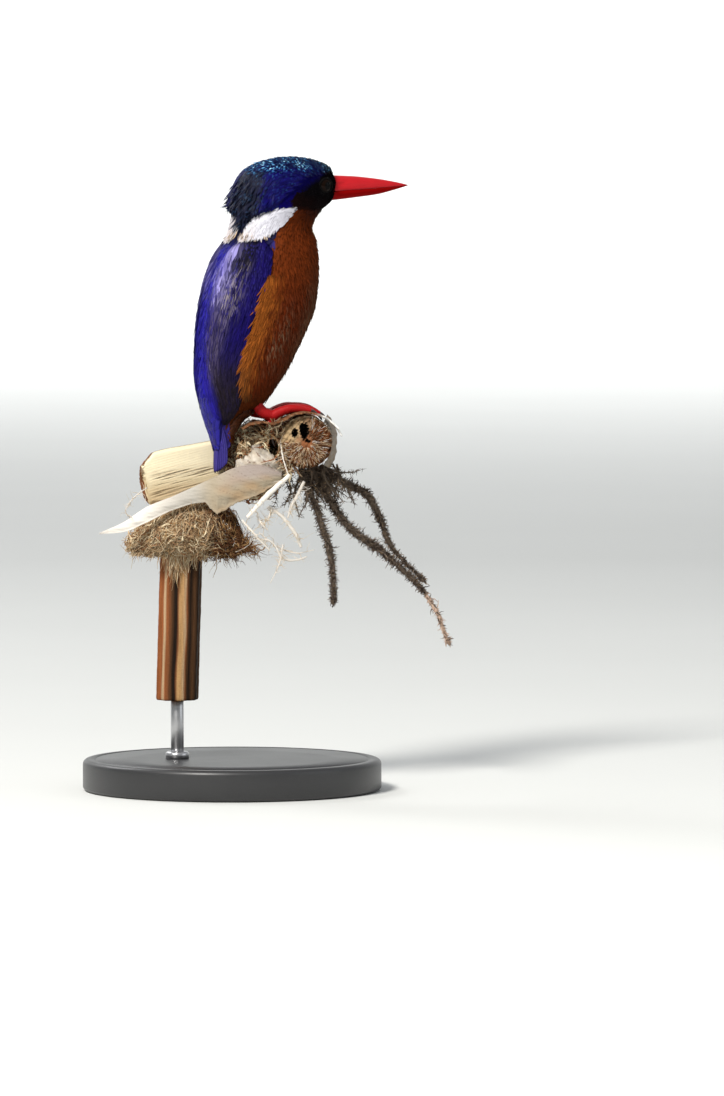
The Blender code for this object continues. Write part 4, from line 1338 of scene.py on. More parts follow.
def billHalf(half):
    # each section is half an oval: width by the cosine, height by the sine ** 0.85, with a keel along its middle,
    # closed by a slightly hollow floor; the mouth's edges pinch in below the swell of the side
    upper = half == "upper"
    sign = 1 if upper else -1
    reach = 18.6 + 33.0 * (1 - (1 - np.linspace(0, 1, 110)[:, None]) ** 1.3)
    culmen, mouth, gonys, wide = billAt(reach)
    turn = np.linspace(0, math.pi, 33)[None]
    split = bill["gap"] * np.minimum(1, wide) * sign
    rise = (culmen if upper else gonys) - mouth - split
    middle = turn - math.pi / 2
    keel = bill["ridge"] * np.exp(-(middle / 0.22) ** 2) * np.clip(wide / 2, 0, 1) * np.sign(rise)
    side = wide * np.cos(turn) * (1 - 0.05 * np.exp(-(np.sin(turn) / 0.22) ** 2))
    high = mouth + split + (rise - keel) * np.sin(turn) ** 0.85 + keel * np.exp(-(middle / 0.10) ** 2)
    if upper:
        nx, nz, long, tall, deep = bill["nostril"]
        near = ((reach - nx) / long) ** 2 + ((high - nz - 0.10 * (reach - nx)) / tall) ** 2
        side = side - np.sign(side) * np.exp(-near ** 1.5) * deep
    floor = np.linspace(0, 1, 13)[None, 1:-1]
    sunk = bill["hollow"] * np.clip(wide - 0.4, 0, 1) * np.sin(math.pi * floor)
    side = np.concatenate([side, side[:, -1:] * (1 - floor) + side[:, :1] * floor], 1)
    high = np.concatenate([high, high[:, -1:] + sunk * sign], 1)
    reach = np.broadcast_to(reach, side.shape)
    tone, gloss, rough = bill[half]
    made = Maker(half + "BillHorn", Specular_IOR_Level=gloss)
    at = made.data("reach")
    streak = made.noise(made.place((0.06, 1, 1), (0, 0, -math.radians(form["headTurn"]))), 1400, 4, 0.6)
    cloud = made.noise(made.place(), 260, 3, 0.6)
    dark, pale = (tuple(part * share for part in tone) for share in (0.72, 1.25))
    paint = made.mix(streak * 0.6 + cloud * 0.4, dark, pale)
    paint = made.mix((1 - at.between(19.0, 22.5 + cloud * 3)) * 0.75, paint, bill["base"])
    made.colour(made.mix(at.between(48.5, 51.5) * 0.35, paint, bill["tip"]))
    made.rough(rough + streak * 0.12 + (1 - at.between(19, 23)) * 0.2)
    made.bump(streak + cloud * 0.3, 0.05, 0.7)
    piece = loftPieces(half + "Bill", [turned(reach, side, high)[:, ::sign]], reach=[reach])
    settle(piece, made.material, "bill", "bill_" + half)


billHalf("upper")
billHalf("lower")
print("stage: bill")


# feet

feet = {
    "side": 6.0, "hip": (5.6, 119.6), "knee": (7.9, 116.6), "spreads": [(-2.3, 0.92), (0.0, 1.0), (2.1, 0.8)],
    # along and above the stub's axis, and how far the toe has spread
    "toe": [(-10.4, 7.8, 0.15), (-7.6, 9.0, 0.5), (-3.4, 10.1, 0.9), (1.2, 9.9, 1.0), (5.0, 8.4, 1.1)],
    "hind": [(-10.6, 7.3), (-11.2, 5.0), (-10.9, 1.8)],
    "legRadii": (1.6, 1.75, 1.85), "toeRadii": (1.7, 1.55, 1.3, 1.05, 0.72), "hindRadii": (1.2, 1.0, 0.75),
    # how far each bend of a claw lies ahead and along its hook, and its radius
    "claw": [(0, 0, 0.56), (0.9, 0.05, 0.52), (1.7, 0.45, 0.40), (2.2, 1.1, 0.22), (2.3, 1.75, 0.04)],
    "scale": 0.62, "tone": (0.50, 0.010, 0.012), "dark": (0.22, 0.005, 0.006),
}
stub = {
    "x": 23.2, "z": 107.4, "radius": 8.4, "skew": 16.0, "near": 13.0, "far": 14.0,
    # right, up, half width, half height, depth, lean
    "pits": [(-0.4, 3.3, 1.3, 2.6, 5.0, 0.12), (-3.3, 2.8, 0.95, 1.35, 3.5, -0.3), (0.8, 0.2, 0.9, 0.45, 1.6, -0.3)],
}


def overStub(side, along, above):
    return np.array([stub["x"] + side * math.tan(math.radians(stub["skew"])) + along, side, stub["z"] + above])


def scuted(length):
    # broad scales over the top of a toe: a saw of short swells, and soft pads beneath
    rings = length / feet["scale"]

    def shape(turn, share):
        over = 0.5 + 0.5 * np.sin(turn)
        pads = np.abs(np.sin(share * rings * math.pi / 2.6)) * (1 - over)
        return 1 - 0.05 * over * soft((share * rings) % 1.0, 0.55, 1.0) + 0.05 * pads - 0.03

    return shape


def withRadii(path, radii):
    return [(*at, radius) for at, radius in zip(path, radii)]


def footGrids(side):
    middle = side * feet["side"]
    (hipX, hipZ), (kneeX, kneeZ) = feet["hip"], feet["knee"]
    leg = [(hipX, middle * 0.92, hipZ), (kneeX, middle, kneeZ), overStub(middle, -10.5, 7.8)]
    grids = [sweep(withRadii(leg, feet["legRadii"]), 60, 20, scuted(8.5))]
    claws = []

    def addClaw(path, hook):
        ahead = unit(path[-1] - path[-2])
        start = path[-1] - ahead * 0.25
        claws.append(sweep([(*(start + ahead * far + hook * bend), r) for far, bend, r in feet["claw"]], 22, 12))

    for spread, length in feet["spreads"]:
        base = feet["toe"][0][0]
        path = [
            overStub(middle + side * spread * out, base + (along - base) * length, above)
            for along, above, out in feet["toe"]
        ]
        path[-1][2] += 1.0 * (length < 0.9)
        grids.append(sweep(withRadii(path, feet["toeRadii"]), 110, 20, scuted(16 * length)))
        addClaw(path, np.array([0.25, 0, -0.97]))
    path = [overStub(middle, *at) for at in feet["hind"]]
    path[2][1] += side * 0.6
    grids.append(sweep(withRadii(path, feet["hindRadii"]), 44, 20, scuted(6), (1, 0, 0)))
    addClaw(path, np.array([0.5, 0, -0.87]))
    return grids, claws


def buildFeet():
    made = Maker("footSkin", Specular_IOR_Level=0.15)
    grain = made.noise(made.place(), 1800, 3, 0.6)
    cloud = made.noise(made.place(), 300, 2, 0.5)
    made.colour(made.mix(grain * 0.5 + cloud * 0.5, feet["dark"], feet["tone"]))
    made.rough(0.38 + grain * 0.25)
    made.bump(grain, 0.08, 0.8)
    hornNoise = (0.3, 1, 1), 2500, 3
    horn = speckFinish("clawHorn", hornNoise, (0.020, 0.012, 0.011), (0.085, 0.050, 0.042), 0.03, Roughness=0.35)
    for side, name in ((1, "left"), (-1, "right")):
        grids, claws = footGrids(side)
        settle(loftPieces("foot" + name.capitalize(), grids), made.material, "foot", "leg_" + name)
        nodes = [f"claw_{name}_{i}" for i in (1, 2, 3, 4)]
        settle(loftPieces("claws" + name.capitalize(), claws), horn, "claw", *nodes)


buildFeet()
print("stage: feet")


# the perch

perchTones = {
    "cream": (0.90, 0.80, 0.56), "straw": (0.58, 0.43, 0.24), "face": (0.235, 0.132, 0.072),
    "tan": (0.46, 0.31, 0.18), "umber": (0.085, 0.040, 0.018), "rust": (0.26, 0.085, 0.030),
    "russet": (0.165, 0.062, 0.026), "sandy": (0.42, 0.245, 0.105), "paper": (0.55, 0.455, 0.34),
    "wool": (0.66, 0.49, 0.31), "ochre": (0.58, 0.29, 0.10), "dark": (0.016, 0.010, 0.007),
    "grey": (0.46, 0.42, 0.36), "bone": (0.88, 0.82, 0.74), "root": (0.078, 0.056, 0.042),
    "hair": (0.180, 0.138, 0.102), "white": (0.95, 0.93, 0.88), "dry": (0.40, 0.33, 0.23),
    "dull": (0.43, 0.40, 0.35), "rose": (0.36, 0.30, 0.29), "rootTip": (0.72, 0.51, 0.39),
    "rootDark": (0.045, 0.030, 0.024), "rootLight": (0.30, 0.235, 0.185),
}
plain = (1, 1, 1)


def wood(start, *layers):
    return layered(perchTones, start, *layers)


cane = {
    "foot": (-15.8, 6.0, 27.7), "top": (-14.3, 6.0, 77.0), "radius": 6.6, "ridges": 8, "deep": 0.55, "crest": -96.0,
    # the stripes' tones round the cane, by degrees from the crest that catches the light: the reed's own rust and tan
    # streaks, with painted highlights on the lit ridges and painted shade in the grooves and on the side away from the
    # light
    "stripes": [
        (-180, "umber"), (-135, "rust"), (-108, "sandy"), (-100, "tan"), (-95, "rust"), (-80, "rust"), (-67, "rust"),
        (-62, "tan"), (-54, "tan"), (-48, "rust"), (-38, "russet"), (-33, "umber"), (-26, "dark"), (-19, "dark"),
        (-15, "russet"), (-11, "sandy"), (-3, "sandy"), (5, "tan"), (10, "rust"), (14, "umber"), (22, "dark"),
        (34, "umber"), (48, "dark"), (90, "umber"), (120, "rust"), (150, "umber"), (180, "umber"),
    ],
}


def buildCane():
    share, turn = np.linspace(0, 1, 110)[:, None], np.linspace(0, 360, 160, endpoint=False)[None]
    foot, top = np.array(cane["foot"]), np.array(cane["top"])
    wander = 3.0 * np.sin(share * 4.0) + 2.0 * np.sin(share * 9.0 + 1)
    crest = np.cos(np.radians((turn - cane["crest"] + wander) * cane["ridges"]))
    c, s = np.cos(np.radians(turn)), np.sin(np.radians(turn))
    place = places(c * 3, s * 3, share * 2.0)
    reach = cane["radius"] - cane["deep"] * (0.5 - 0.5 * crest) ** 0.8
    reach = reach + 0.07 * ripple(place, 0.10, 3.0) + 0.05 * ripple(place, 0.25, 5.0)
    reach = reach - 0.25 * (1 - soft(share, 0, 0.012))
    grid = foot + share[..., None] * (top - foot) + reach[..., None] * places(c, s, 0)
    at = (turn - cane["crest"] + wander + 180) % 360 - 180
    at = at + 1.5 * ripple(place, 0.3, 2.0)
    stops = [stop for stop, _ in cane["stripes"]]
    paints = np.array([perchTones[name] for _, name in cane["stripes"]])
    paint = np.stack([np.interp(at, stops, paints[:, k]) for k in range(3)], -1)
    # the top quarter is darker: painted shade under the clump
    shade = 0.75 + 0.25 * soft(1 - share, 0.02, 0.25) + 0.22 * ripple(place * [1, 1, 0.12], 0.045, 4.0)
    piece = loftPieces("caneBark", [grid], tint=[paint * shade[..., None]])
    finish = barkFinish("caneBark", (1, 1, 0.035), 900, 0.5, 0.10, 0.7, Specular_IOR_Level=0.03)
    settle(piece, finish, "reed_bark", "perch_cane")


culm = {
    # along, bottom, top, depth
    "rows": [
        (-26.9, 97.2, 100.0, 3.0), (-25.0, 88.8, 102.1, 7.5), (-23.0, 88.2, 104.2, 8.6), (-10.0, 88.8, 106.5, 9.3),
        (1.5, 90.4, 108.3, 8.6),
    ],
    "front": 6.0, "grooves": 0.34,
}


def buildCulm():
    x = -26.9 + 28.4 * np.linspace(0, 1, 120)[:, None] ** 1.25
    bottom, top, depth = smoothTable(culm["rows"])(x)
    flat, arch = np.linspace(1, 0, 110)[None], np.linspace(0, math.pi, 50)[None, 1:-1]
    zFront = bottom + (top - bottom) * flat
    # splits run up the slope of the grain, steeper lower down, and only in the lower half
    lane = zFront - (x + 27) * (0.17 + 0.08 * (1 - flat))
    across = places(x * 0.05, lane, 0)
    low = soft(0.66 - flat, 0, 0.16) * soft(flat, 0.04, 0.14) * soft(x, -26, -21)
    groove = soft(ripple(across, 0.42, 4.0) + 0.35 * ripple(across, 0.2, 1.0), 0.05, 0.75) * low
    groove = groove * (0.25 + 0.75 * soft(ripple(across * [4, 1, 1], 1.6, 5.0), -0.4, 0.4))
    yFront = culm["front"] + culm["grooves"] * groove + 0.05 * ripple(across, 0.3, 2.0)
    yFront = yFront + 0.7 * soft(np.abs(flat - 0.5), 0.42, 0.5)
    yBack = culm["front"] + depth * np.sin(arch) * (1 + 0.01 * np.sin(arch * 40))
    zBack = (bottom + top) / 2 - (top - bottom) / 2 * np.cos(arch)
    y, z = np.concatenate([yFront, yBack], 1), np.concatenate([zFront, zBack], 1)
    place = places(0, y, z)
    jag = ripple(place, 0.9, 6.0) + 0.5 * ripple(place, 0.35, 1.0)
    ends = (1 - soft(x, -26.9, -23.5)) * 0.45 + soft(x, -2, 1.5) * 1.2

    def overFront(values):
        # the front's values, with none over the rounded back
        return np.concatenate([values, np.zeros(zBack.shape)], 1)

    share = np.concatenate([flat + 0 * x, 0.5 - 0.5 * np.cos(arch) + 0 * x], 1)
    streaks = np.clip(overFront(ripple(across, 0.5, 3.0)), 0, 1)
    cream = wood(
        "cream",
        ("straw", 0.7 * soft(0.62 - share, 0, 0.4)),
        ("ochre", 0.22 * streaks * (1 - 0.6 * soft(share, 0.6, 0.8))),
        # the splits are darkened with umber: painted shade in them
        ("umber", 0.85 * overFront(groove) ** 0.8),
    )
    bark = wood("rust", ("umber", 0.5 + 0.5 * ripple(place, 1.5, 2.0)))
    rim = (1 - soft(x, -26.9, -26.3)) * (1 - soft(share, 0.85, 0.95))
    paint = wood(blend(bark, cream, overFront(np.ones(zFront.shape))), ("umber", 0.7 * rim))
    piece = loftPieces("culmSplit", [places(x + jag * ends, y, z)], tint=[paint])
    finish = barkFinish("culmWood", plain, 700, 0.6, 0.03, 0.14, Specular_IOR_Level=0.05)
    settle(piece, finish, "reed_pale", "perch_culm")


sheath = {
    # along, side, bottom, top
    "rows": [
        (-43.5, -2.0, 79.75, 80.05), (-35.7, -3.0, 80.4, 83.5), (-28.7, -4.0, 83.3, 88.0), (-20.4, -5.0, 87.0, 91.2),
        (-11.4, -6.2, 88.8, 95.2), (-7.5, -6.8, 85.2, 96.9), (-1.6, -7.6, 88.3, 99.6), (6.2, -8.4, 91.2, 100.4),
        (13.0, -8.8, 95.6, 98.0),
    ],
    "thick": 0.45, "bow": 1.3, "curl": 0.8,
}


def buildSheath():
    # a leaf's worth of thin skin, bowed across its width, its long edges rolled in and its lower edge torn
    x, share = np.linspace(-43.5, 13.0, 190)[:, None], np.linspace(0, 1, 40)[None]
    side, bottom, top = smoothTable(sheath["rows"])(x)
    tear = np.abs(np.sin(x * 1.3)) * 0.5 + np.abs(np.sin(x * 3.1 + 1)) * 0.3
    tear = tear * soft(x, -14, -9) * (1 - soft(x, 9, 13))
    bottom = bottom + tear * 0.9 * (1 - soft(x, -6, -2) * 0.4)
    tall = top - bottom
    z = bottom + tall * share
    bow = sheath["bow"] * np.sin(math.pi * share) * tall / 10
    edges = np.exp(-(share / 0.08) ** 2) - 0.6 * np.exp(-((1 - share) / 0.07) ** 2)
    roll = sheath["curl"] * edges * np.clip(tall / 8, 0, 1)
    place = places(x * 0.25, 0, z)
    crease = 0.22 * ripple(place, 1.7, 2.0) + 0.08 * ripple(place, 0.5, 4.0)
    y = np.maximum(side - bow + crease - roll * 0.6, side - sheath["bow"] - 0.6)
    vein = np.sin(share * 95 + 0.3 * np.sin(x * 0.3))
    thick = sheath["thick"] * (0.5 + 0.5 * np.sin(math.pi * share) ** 0.4)
    both = np.concatenate([places(x, y + 0.03 * vein, z), places(x, y + thick, z)[:, ::-1]], 1)
    wide = np.concatenate([share + 0 * x, (share + 0 * x)[:, ::-1]], 1)
    far = np.broadcast_to(x, wide.shape)
    stain = np.clip(0.5 + 0.8 * ripple(places(far * 0.5, 0, wide * 6), 1.6, 5.0), 0, 1)
    stain = stain * soft(far, -11, -4) * (1 - soft(far, 7, 12)) * (1 - soft(wide, 0.55, 0.95))
    dots = np.clip(ripple(places(far, 0, wide * 12), 0.6, 9.0) - 0.62, 0, 1) * 2
    paint = wood(
        "bone",
        ("dull", soft(far, -33, -16) * 0.85),
        ("dry", soft(far, -16, -8) * 0.9),
        ("sandy", stain * 0.5),
        ("rose", soft(far, -10, 2) * soft(wide, 0.35, 0.8) * 0.7),
        ("umber", dots * soft(far, -12, -6) * 0.6),
    )
    piece = loftPieces("leafSheath", [both[:, ::-1]], tint=[paint[:, ::-1]])
    finish = barkFinish("sheathSkin", (0.05, 1, 1), 1300, 0.55, 0.07, 0.25, Sheen_Weight=0.15)
    settle(piece, finish, "reed_pale", "perch_sheath")


stubSkew = math.radians(stub["skew"])
stubAcross = np.array([math.cos(stubSkew), -math.sin(stubSkew), 0])
stubAxis = np.array([math.sin(stubSkew), math.cos(stubSkew), 0])
stubNear = -stub["near"] / math.cos(stubSkew)


def stubPlace(u, v, depth):
    # a place from how far it is across and up the stub's near face, and its depth along the axis
    centre, up = np.array([stub["x"], 0, stub["z"]]), np.array([0, 0, 1.0])
    return centre + u[..., None] * stubAcross + v[..., None] * up + depth[..., None] * stubAxis


def buildStub():
    # rows run from the middle of the near face out to its rim, along the bark, and in over the far face
    turn, far = turns(180)[None], stub["far"] / math.cos(stubSkew)
    face, side, back = 58, 44, 20
    reach = np.r_[np.linspace(0.02, 1, face) ** 0.8, np.ones(side), np.linspace(1, 0.02, back)][:, None]
    depth = np.r_[np.full(face, stubNear), np.linspace(stubNear, far, side + 2)[1:-1], np.full(back, far)][:, None]
    onFace = np.r_[np.ones(face), np.zeros(side + back)][:, None]
    onBack = np.r_[np.zeros(face + side), np.ones(back)][:, None]
    uneven = 0.20 * ripple(places(np.cos(turn) * 2, np.sin(turn) * 2, depth * 0.06), 0.9, 4.0)
    ribs = np.sin(turn * 23 + depth * 0.05)
    outline = stub["radius"] - 0.25 + uneven - 0.12 * (ribs * 0.5 + 0.5) ** 3
    u, v = reach * outline * np.cos(turn), reach * outline * np.sin(turn)
    place = places(u, v, 0)
    fray = 0.35 * ripple(place, 0.5, 1.0)
    pits = 0
    for du, dv, wide, tall, deep, lean in stub["pits"]:
        a, b = u - du, v - dv
        a, b = a * math.cos(lean) + b * math.sin(lean), b * math.cos(lean) - a * math.sin(lean)
        pits = pits + deep * (1 - soft(np.sqrt((a / wide) ** 2 + (b / tall) ** 2) + fray * 0.9, 0.72, 1.12))
    # split fibres fan out from the middle over the lower right of the face
    swirl = turn + 0.22 * ripple(place, 2.2, 6.0) + 0.05 * ripple(place, 0.7, 2.0)
    polar = places(np.cos(swirl) * 9, np.sin(swirl) * 9, reach * 1.8)
    spokes = soft(ripple(polar, 0.42, 3.0) + 0.6 * ripple(polar, 0.22, 1.0), -0.3, 0.9)
    ragged = soft(reach, 0.15, 0.45) * soft(u * 0.6 - v * 0.7 + 2.0 * ripple(place, 1.4, 8.0), -2.5, 1.5)
    coarse = ripple(place, 1.2, 2.0) + 0.5 * ripple(place, 0.6, 5.0)
    rim = np.exp(-((reach - 0.955) / 0.03) ** 2) * 0.35 - np.exp(-((reach - 0.88) / 0.035) ** 2) * 0.5
    dished = 1.5 * reach ** 4 * (1 + 0.5 * coarse)
    depth = depth + onFace * (pits + ragged * spokes * 0.6 + 0.28 * coarse + dished - rim * soft(v, 0, 5))
    fibres = ripple(polar, 0.16, 9.0)
    split = ragged * (spokes * 0.7 + soft(fibres, 0.1, 0.7) * 0.5) + soft(coarse, 0.5, 1.2) * 0.4
    # a painted highlight: cream along the rim's upper part
    bright = np.exp(-((reach - 0.965) / 0.02) ** 2) * soft(v + 0.5 * u, 1, 6)
    paint = wood(
        "face",
        ("straw", soft(-u + 0.2 * v + 1.2 * coarse, -0.5, 4.5) * 0.62),
        ("rust", soft(u * 0.5 - v * 0.7 + 1.6 * ripple(place, 1.2, 8.0), -3.0, 0.8) * 0.85),
        ("umber", np.clip(split, 0, 1)),
        ("straw", ragged * soft(-fibres, 0.35, 0.8) * (1 - spokes) * 0.5),
        ("umber", soft(u, 2.5, 7.5) * soft(v, -4, 1) * soft(coarse, -0.6, 0.5) * 0.75),
        # the pits are painted near black: painted shade in them
        ("dark", np.clip(pits * 1.2, 0, 1)),
        ("umber", soft(reach, 0.86, 0.94) * 0.65 * soft(v + 0.4 * u + 2 * coarse, -1, 3)),
        ("umber", soft(reach, 0.80, 0.97) * soft(-v + 0.3 * u + coarse, 2, 6) * 0.8),
        ("cream", bright * soft(coarse, -0.6, 0.4) * 0.8),
    )
    rings = wood("face", ("rust", 0.5 + 0.5 * np.sin(reach * 40 + 3 * ripple(place, 2.5, 2.0))))
    bark = wood(
        "umber",
        ("rust", 0.5 + 0.5 * ripple(places(u, v, depth * 0.15), 1.1, 5.0)),
        ("tan", 0.4 * (0.5 + 0.5 * np.sin(turn * 23 + depth * 0.05)) ** 2),
    )
    bark = blend(bark, wood(rings, ("umber", soft(coarse, 0, 1))), onBack)
    paint = blend(bark, paint, onFace)
    piece = loftPieces("stubWood", [stubPlace(u, v, depth)[:, ::-1]], tint=[paint[:, ::-1]])
    settle(piece, barkFinish("stubWood", (1, 0.15, 1), 900, 0.75, 0.14, 0.6), "reed_bark", "perch_stub")


def layFaceFibres():
    # loose split fibres lie outwards over the stub's face, longest and reddest over its lower right
    count = 900
    angle = np.radians(rng.uniform(-175, 75, count))
    reach = rng.uniform(1.6, 6.6, count)
    u, v = reach * np.cos(angle), reach * np.sin(angle)
    clear = np.ones(count, bool)
    for du, dv, wide, tall, *_ in stub["pits"]:
        clear &= ((u - du) / (wide + 0.3)) ** 2 + ((v - dv) / (tall + 0.3)) ** 2 >= 1
    angle, reach, u, v = (kept[clear] for kept in (angle, reach, u, v))
    count, share = len(reach), reach / stub["radius"]
    start = stubPlace(u, v, stubNear - 0.05 + 1.5 * share ** 4)
    outward = np.cos(angle)[:, None] * stubAcross + np.sin(angle)[:, None] * np.array([0, 0, 1.0])
    slope = (6.0 * share ** 3 / stub["radius"])[:, None] - rng.uniform(0.0, 0.25, (count, 1))
    heading = outward + stubAxis * slope + rng.normal(0, 0.22, (count, 3))
    length = np.minimum(rng.uniform(0.9, 2.6, count), 8.3 - reach)
    line = curled(start, heading, length, 5, 0.22, 0.06)
    pick = rng.random(count)
    tint = wood(
        "umber", ("rust", rng.random(count)),
        ("wool", (pick < 0.14 + 0.30 * soft(-v, -2, 4)) * 0.9), ("bone", (pick > 0.93) * 0.8),
    )
    finish = barkFinish("faceFibre", plain, 2500, 0.9, 0.05, 0.35)
    layStrands("faceFibres", line, rng.uniform(0.06, 0.15, count), tint, finish)


def peelShell(path, near, far, thick, fray, seed, flare, narrow):
    # a thin curled strip: a path of (along, above) over the stub, as wide as from near to far, both edges frayed
    stations = 90
    path = smoothPath(path, stations)
    slope = np.gradient(path, axis=0)
    out = unit(np.stack([-slope[:, 1], slope[:, 0]], -1))
    wide, s = np.linspace(0, 1, 26)[None], np.linspace(0, 1, stations)[:, None]
    torn = ripple(places(s * 30, 0, s * 3), 1.0, seed)
    low, high = near + fray * torn, far - fray * torn[::-1] - narrow * soft(s, 0.45, 0.95)
    side = low + (high - low) * wide
    wave = 0.22 * ripple(places(s * 14, wide * 4, s * 2), 1.0, seed + 1)
    half = thick * (0.35 + 0.65 * np.sin(math.pi * np.clip(s, 0.02, 0.98)) ** 0.4) / 2
    walls = []
    for sign in (1, -1):
        place = path[:, None] + out[:, None] * (wave + sign * half + flare * wide)[..., None]
        along = stub["x"] + side * math.tan(stubSkew) + place[..., 0]
        walls.append(places(along, side, stub["z"] + place[..., 1]))
    return np.concatenate([walls[0], walls[1][:, ::-1]], 1)


peels = {
    # path of (along, above), near, far, thickness, fray, seed, flare, narrowing
    "bark": (
        [
            (-20.5, 4.2), (-18.0, 5.6), (-14.3, 6.1), (-10.5, 5.7), (-7.0, 6.9), (-3.0, 8.65), (1.5, 8.85),
            (5.8, 7.6), (9.6, 4.9), (12.0, 1.6),
        ],
        -13.6, -3.0, 0.5, 1.1, 2.0, 0.0, 7.5,
    ),
    "skin": (
        [(6.0, 6.0), (7.7, 3.8), (8.4, 1.0), (8.3, -2.2), (7.4, -5.0), (6.0, -7.2)],
        -12.4, 0.5, 0.35, 0.9, 5.0, 2.6, 6.5,
    ),
}


def buildPeels():
    # the torn bark arched over the stub towards the knot, and a thin grey skin hanging on its far side
    grid, thin = peelShell(*peels["bark"]), peelShell(*peels["skin"])
    share = np.linspace(0, 1, len(grid))[:, None] + 0 * grid[..., 0]
    paint = wood(
        "umber",
        ("rust", 0.5 + 0.5 * ripple(grid, 1.0, 3.0)),
        ("tan", soft(ripple(grid, 0.5, 6.0), 0.1, 0.6) * 0.6),
        ("white", soft(share, 0.70, 0.82)),
    )
    pale = 0.6 * wood("grey", ("tan", 0.4 + 0.3 * ripple(thin, 1.2, 1.0)))
    piece = loftPieces("stubPeels", [grid[:, ::-1], thin[:, ::-1]], tint=[paint[:, ::-1], pale[:, ::-1]])
    settle(piece, barkFinish("peelSkin", (1, 0.15, 1), 1200, 0.65, 0.08, 0.45), "reed_bark")


lumps = {
    # bend: place along the lump, shift of its middle, and shares of its height below and above that
    "clump": {
        "centre": (-12.8, 5.0, 79.6), "size": (18.5, 13.0, 8.6), "phase": 0.6, "curl": 0.7, "round": 11.0,
        "bend": [
            (-1.3, -5.0, 0.8, 0.8), (-1, -4.4, 0.8, 0.8), (-0.66, -1.8, 0.8, 0.88), (-0.3, -0.2, 0.97, 1.15),
            (0.3, -0.2, 1.0, 1.34), (0.6, -1.1, 1.02, 1.42), (0.8, -2.6, 1.0, 1.35), (1, -5.1, 0.6, 0.8),
            (1.3, -6.0, 0.5, 0.5),
        ],
    },
    "knot": {
        "centre": (8.6, 3.5, 101.0), "size": (9.6, 9.5, 12.5), "phase": 2.0, "curl": 0.6, "round": 9.0,
        "bend": [(-1.3, 0, 1, 1), (1.3, 0, 1, 1)],
    },
}


def lumpSurface(kind, turn, rise, shrink=0.0):
    # a ball stretched to the size, with two waves over it
    lump = lumps[kind]
    size = np.array(lump["size"]) - shrink
    wide = np.sqrt(np.maximum(0, 1 - rise * rise))
    ray = places(np.cos(turn) * wide, np.sin(turn) * wide, rise)
    wave = np.sin(3 * turn + lump["phase"]) * (1 - rise * rise) + 0.7 * np.sin(5 * turn + 4 * rise - lump["phase"])
    return np.array(lump["centre"]) + ray * size * (1 + 0.06 * wave)[..., None], unit(ray / size)


def bent(kind, points):
    # the lump's points with their middle shifted and their heights scaled along its length
    lump, (x, y, z) = lumps[kind], np.moveaxis(points, -1, 0)
    place = (x - lump["centre"][0]) / lump["size"][0]
    stops, shift, low, high = np.array(lump["bend"]).T
    rise = z - lump["centre"][2]
    rise = rise * np.where(rise > 0, np.interp(place, stops, high), np.interp(place, stops, low))
    return np.stack([x, y, lump["centre"][2] + (rise + np.interp(place, stops, shift))], -1)


def onLump(kind, x, z, proud):
    # the lump's near surface under given places of the view, standing proud of it
    (cx, cy, cz), (sx, sy, sz) = lumps[kind]["centre"], lumps[kind]["size"]
    deep = np.sqrt(np.clip(1 - ((x - cx) / sx) ** 2 - ((z - cz) / sz) ** 2, 0.02, 1))
    return places(x, cy - sy * deep - proud, z)


def layMat(kind, count, sink, along, thick, tint, stray):
    # matted strands that curl along the lump and follow its roundness, a few standing off it
    turn, rise = rng.uniform(0, 2 * math.pi, count), rng.uniform(-0.97, 0.97, count)
    roots, out = lumpSurface(kind, turn, rise, sink)
    roots = roots + rng.normal(0, 0.35, roots.shape)
    loose = level(rng.normal(size=roots.shape) * [1.0, 1.0, 0.75], out)
    heading = loose + out * (rng.random((count, 1)) ** 5 * stray - 0.05)
    length = rng.uniform(*along, count)
    line = curled(roots, heading, length, 5, lumps[kind]["curl"], 0.15, out)
    fall = (np.linspace(0, 1, 5)[None] * length[:, None]) ** 2 / (2 * lumps[kind]["round"])
    line = bent(kind, line - out[:, None] * fall[..., None])
    return line, rng.uniform(*thick, count), tint(roots, rng.random(count), rng.random(count))


def clumpPaint(at, pick, chance):
    # tan wool on the left, darker red-brown with rust and pale scraps on the right; the darkness on the right is partly
    # the fibres' own red-brown and partly painted shade below the sheath and the stub
    left = wood("wool", ("sandy", pick), ("cream", (chance < 0.3) * 0.6), ("russet", (chance > 0.84) * 0.7))
    dark = wood("umber", ("russet", pick), ("sandy", (chance < 0.36) * 0.9), ("bone", (chance > 0.94) * 0.8))
    return blend(left, dark, soft(at[..., 0] + 1.5 * ripple(at, 3.0, 1.0), -11, -5))


# the dark hollow between the knot and the stub, which is painted shade: its place, then its half width and half height
hollow = (10.4, 105.9), (1.5, 2.7)
# the upper edge of the knot's papery skin
knotPaperTop = [0.2, 3.0, 5.6, 8.5, 11.5, 14.6], [101.0, 103.5, 107.2, 105.0, 102.0, 98.6]


def hollowAt(x, z):
    # how far a place is from the hollow, 1 at its rim
    (cx, cz), (wide, tall) = hollow
    return ((x - cx) / wide) ** 2 + ((z - cz) / tall) ** 2


def knotPaint(at, pick, chance):
    # pale papery scraps and rust, browner to the right and above, and almost black round the hollow, which is painted
    # shade
    dark = soft(at[..., 0] + 0.4 * (at[..., 2] - 101) + 1.5 * ripple(at, 2.0, 1.0), 8, 15)
    pale = wood("sandy", ("wool", pick), ("cream", (chance < 0.38) * 0.85), ("rust", (chance > 0.72) * 0.9))
    brown = wood("umber", ("rust", pick), ("wool", (chance < 0.25) * 0.9))
    deep = (1 - soft(hollowAt(at[..., 0], at[..., 2]), 0.6, 1.8)) * (at[..., 1] > -7.8)
    return blend(pale, brown, 0.8 * dark) * (1 - 0.93 * deep)[..., None]


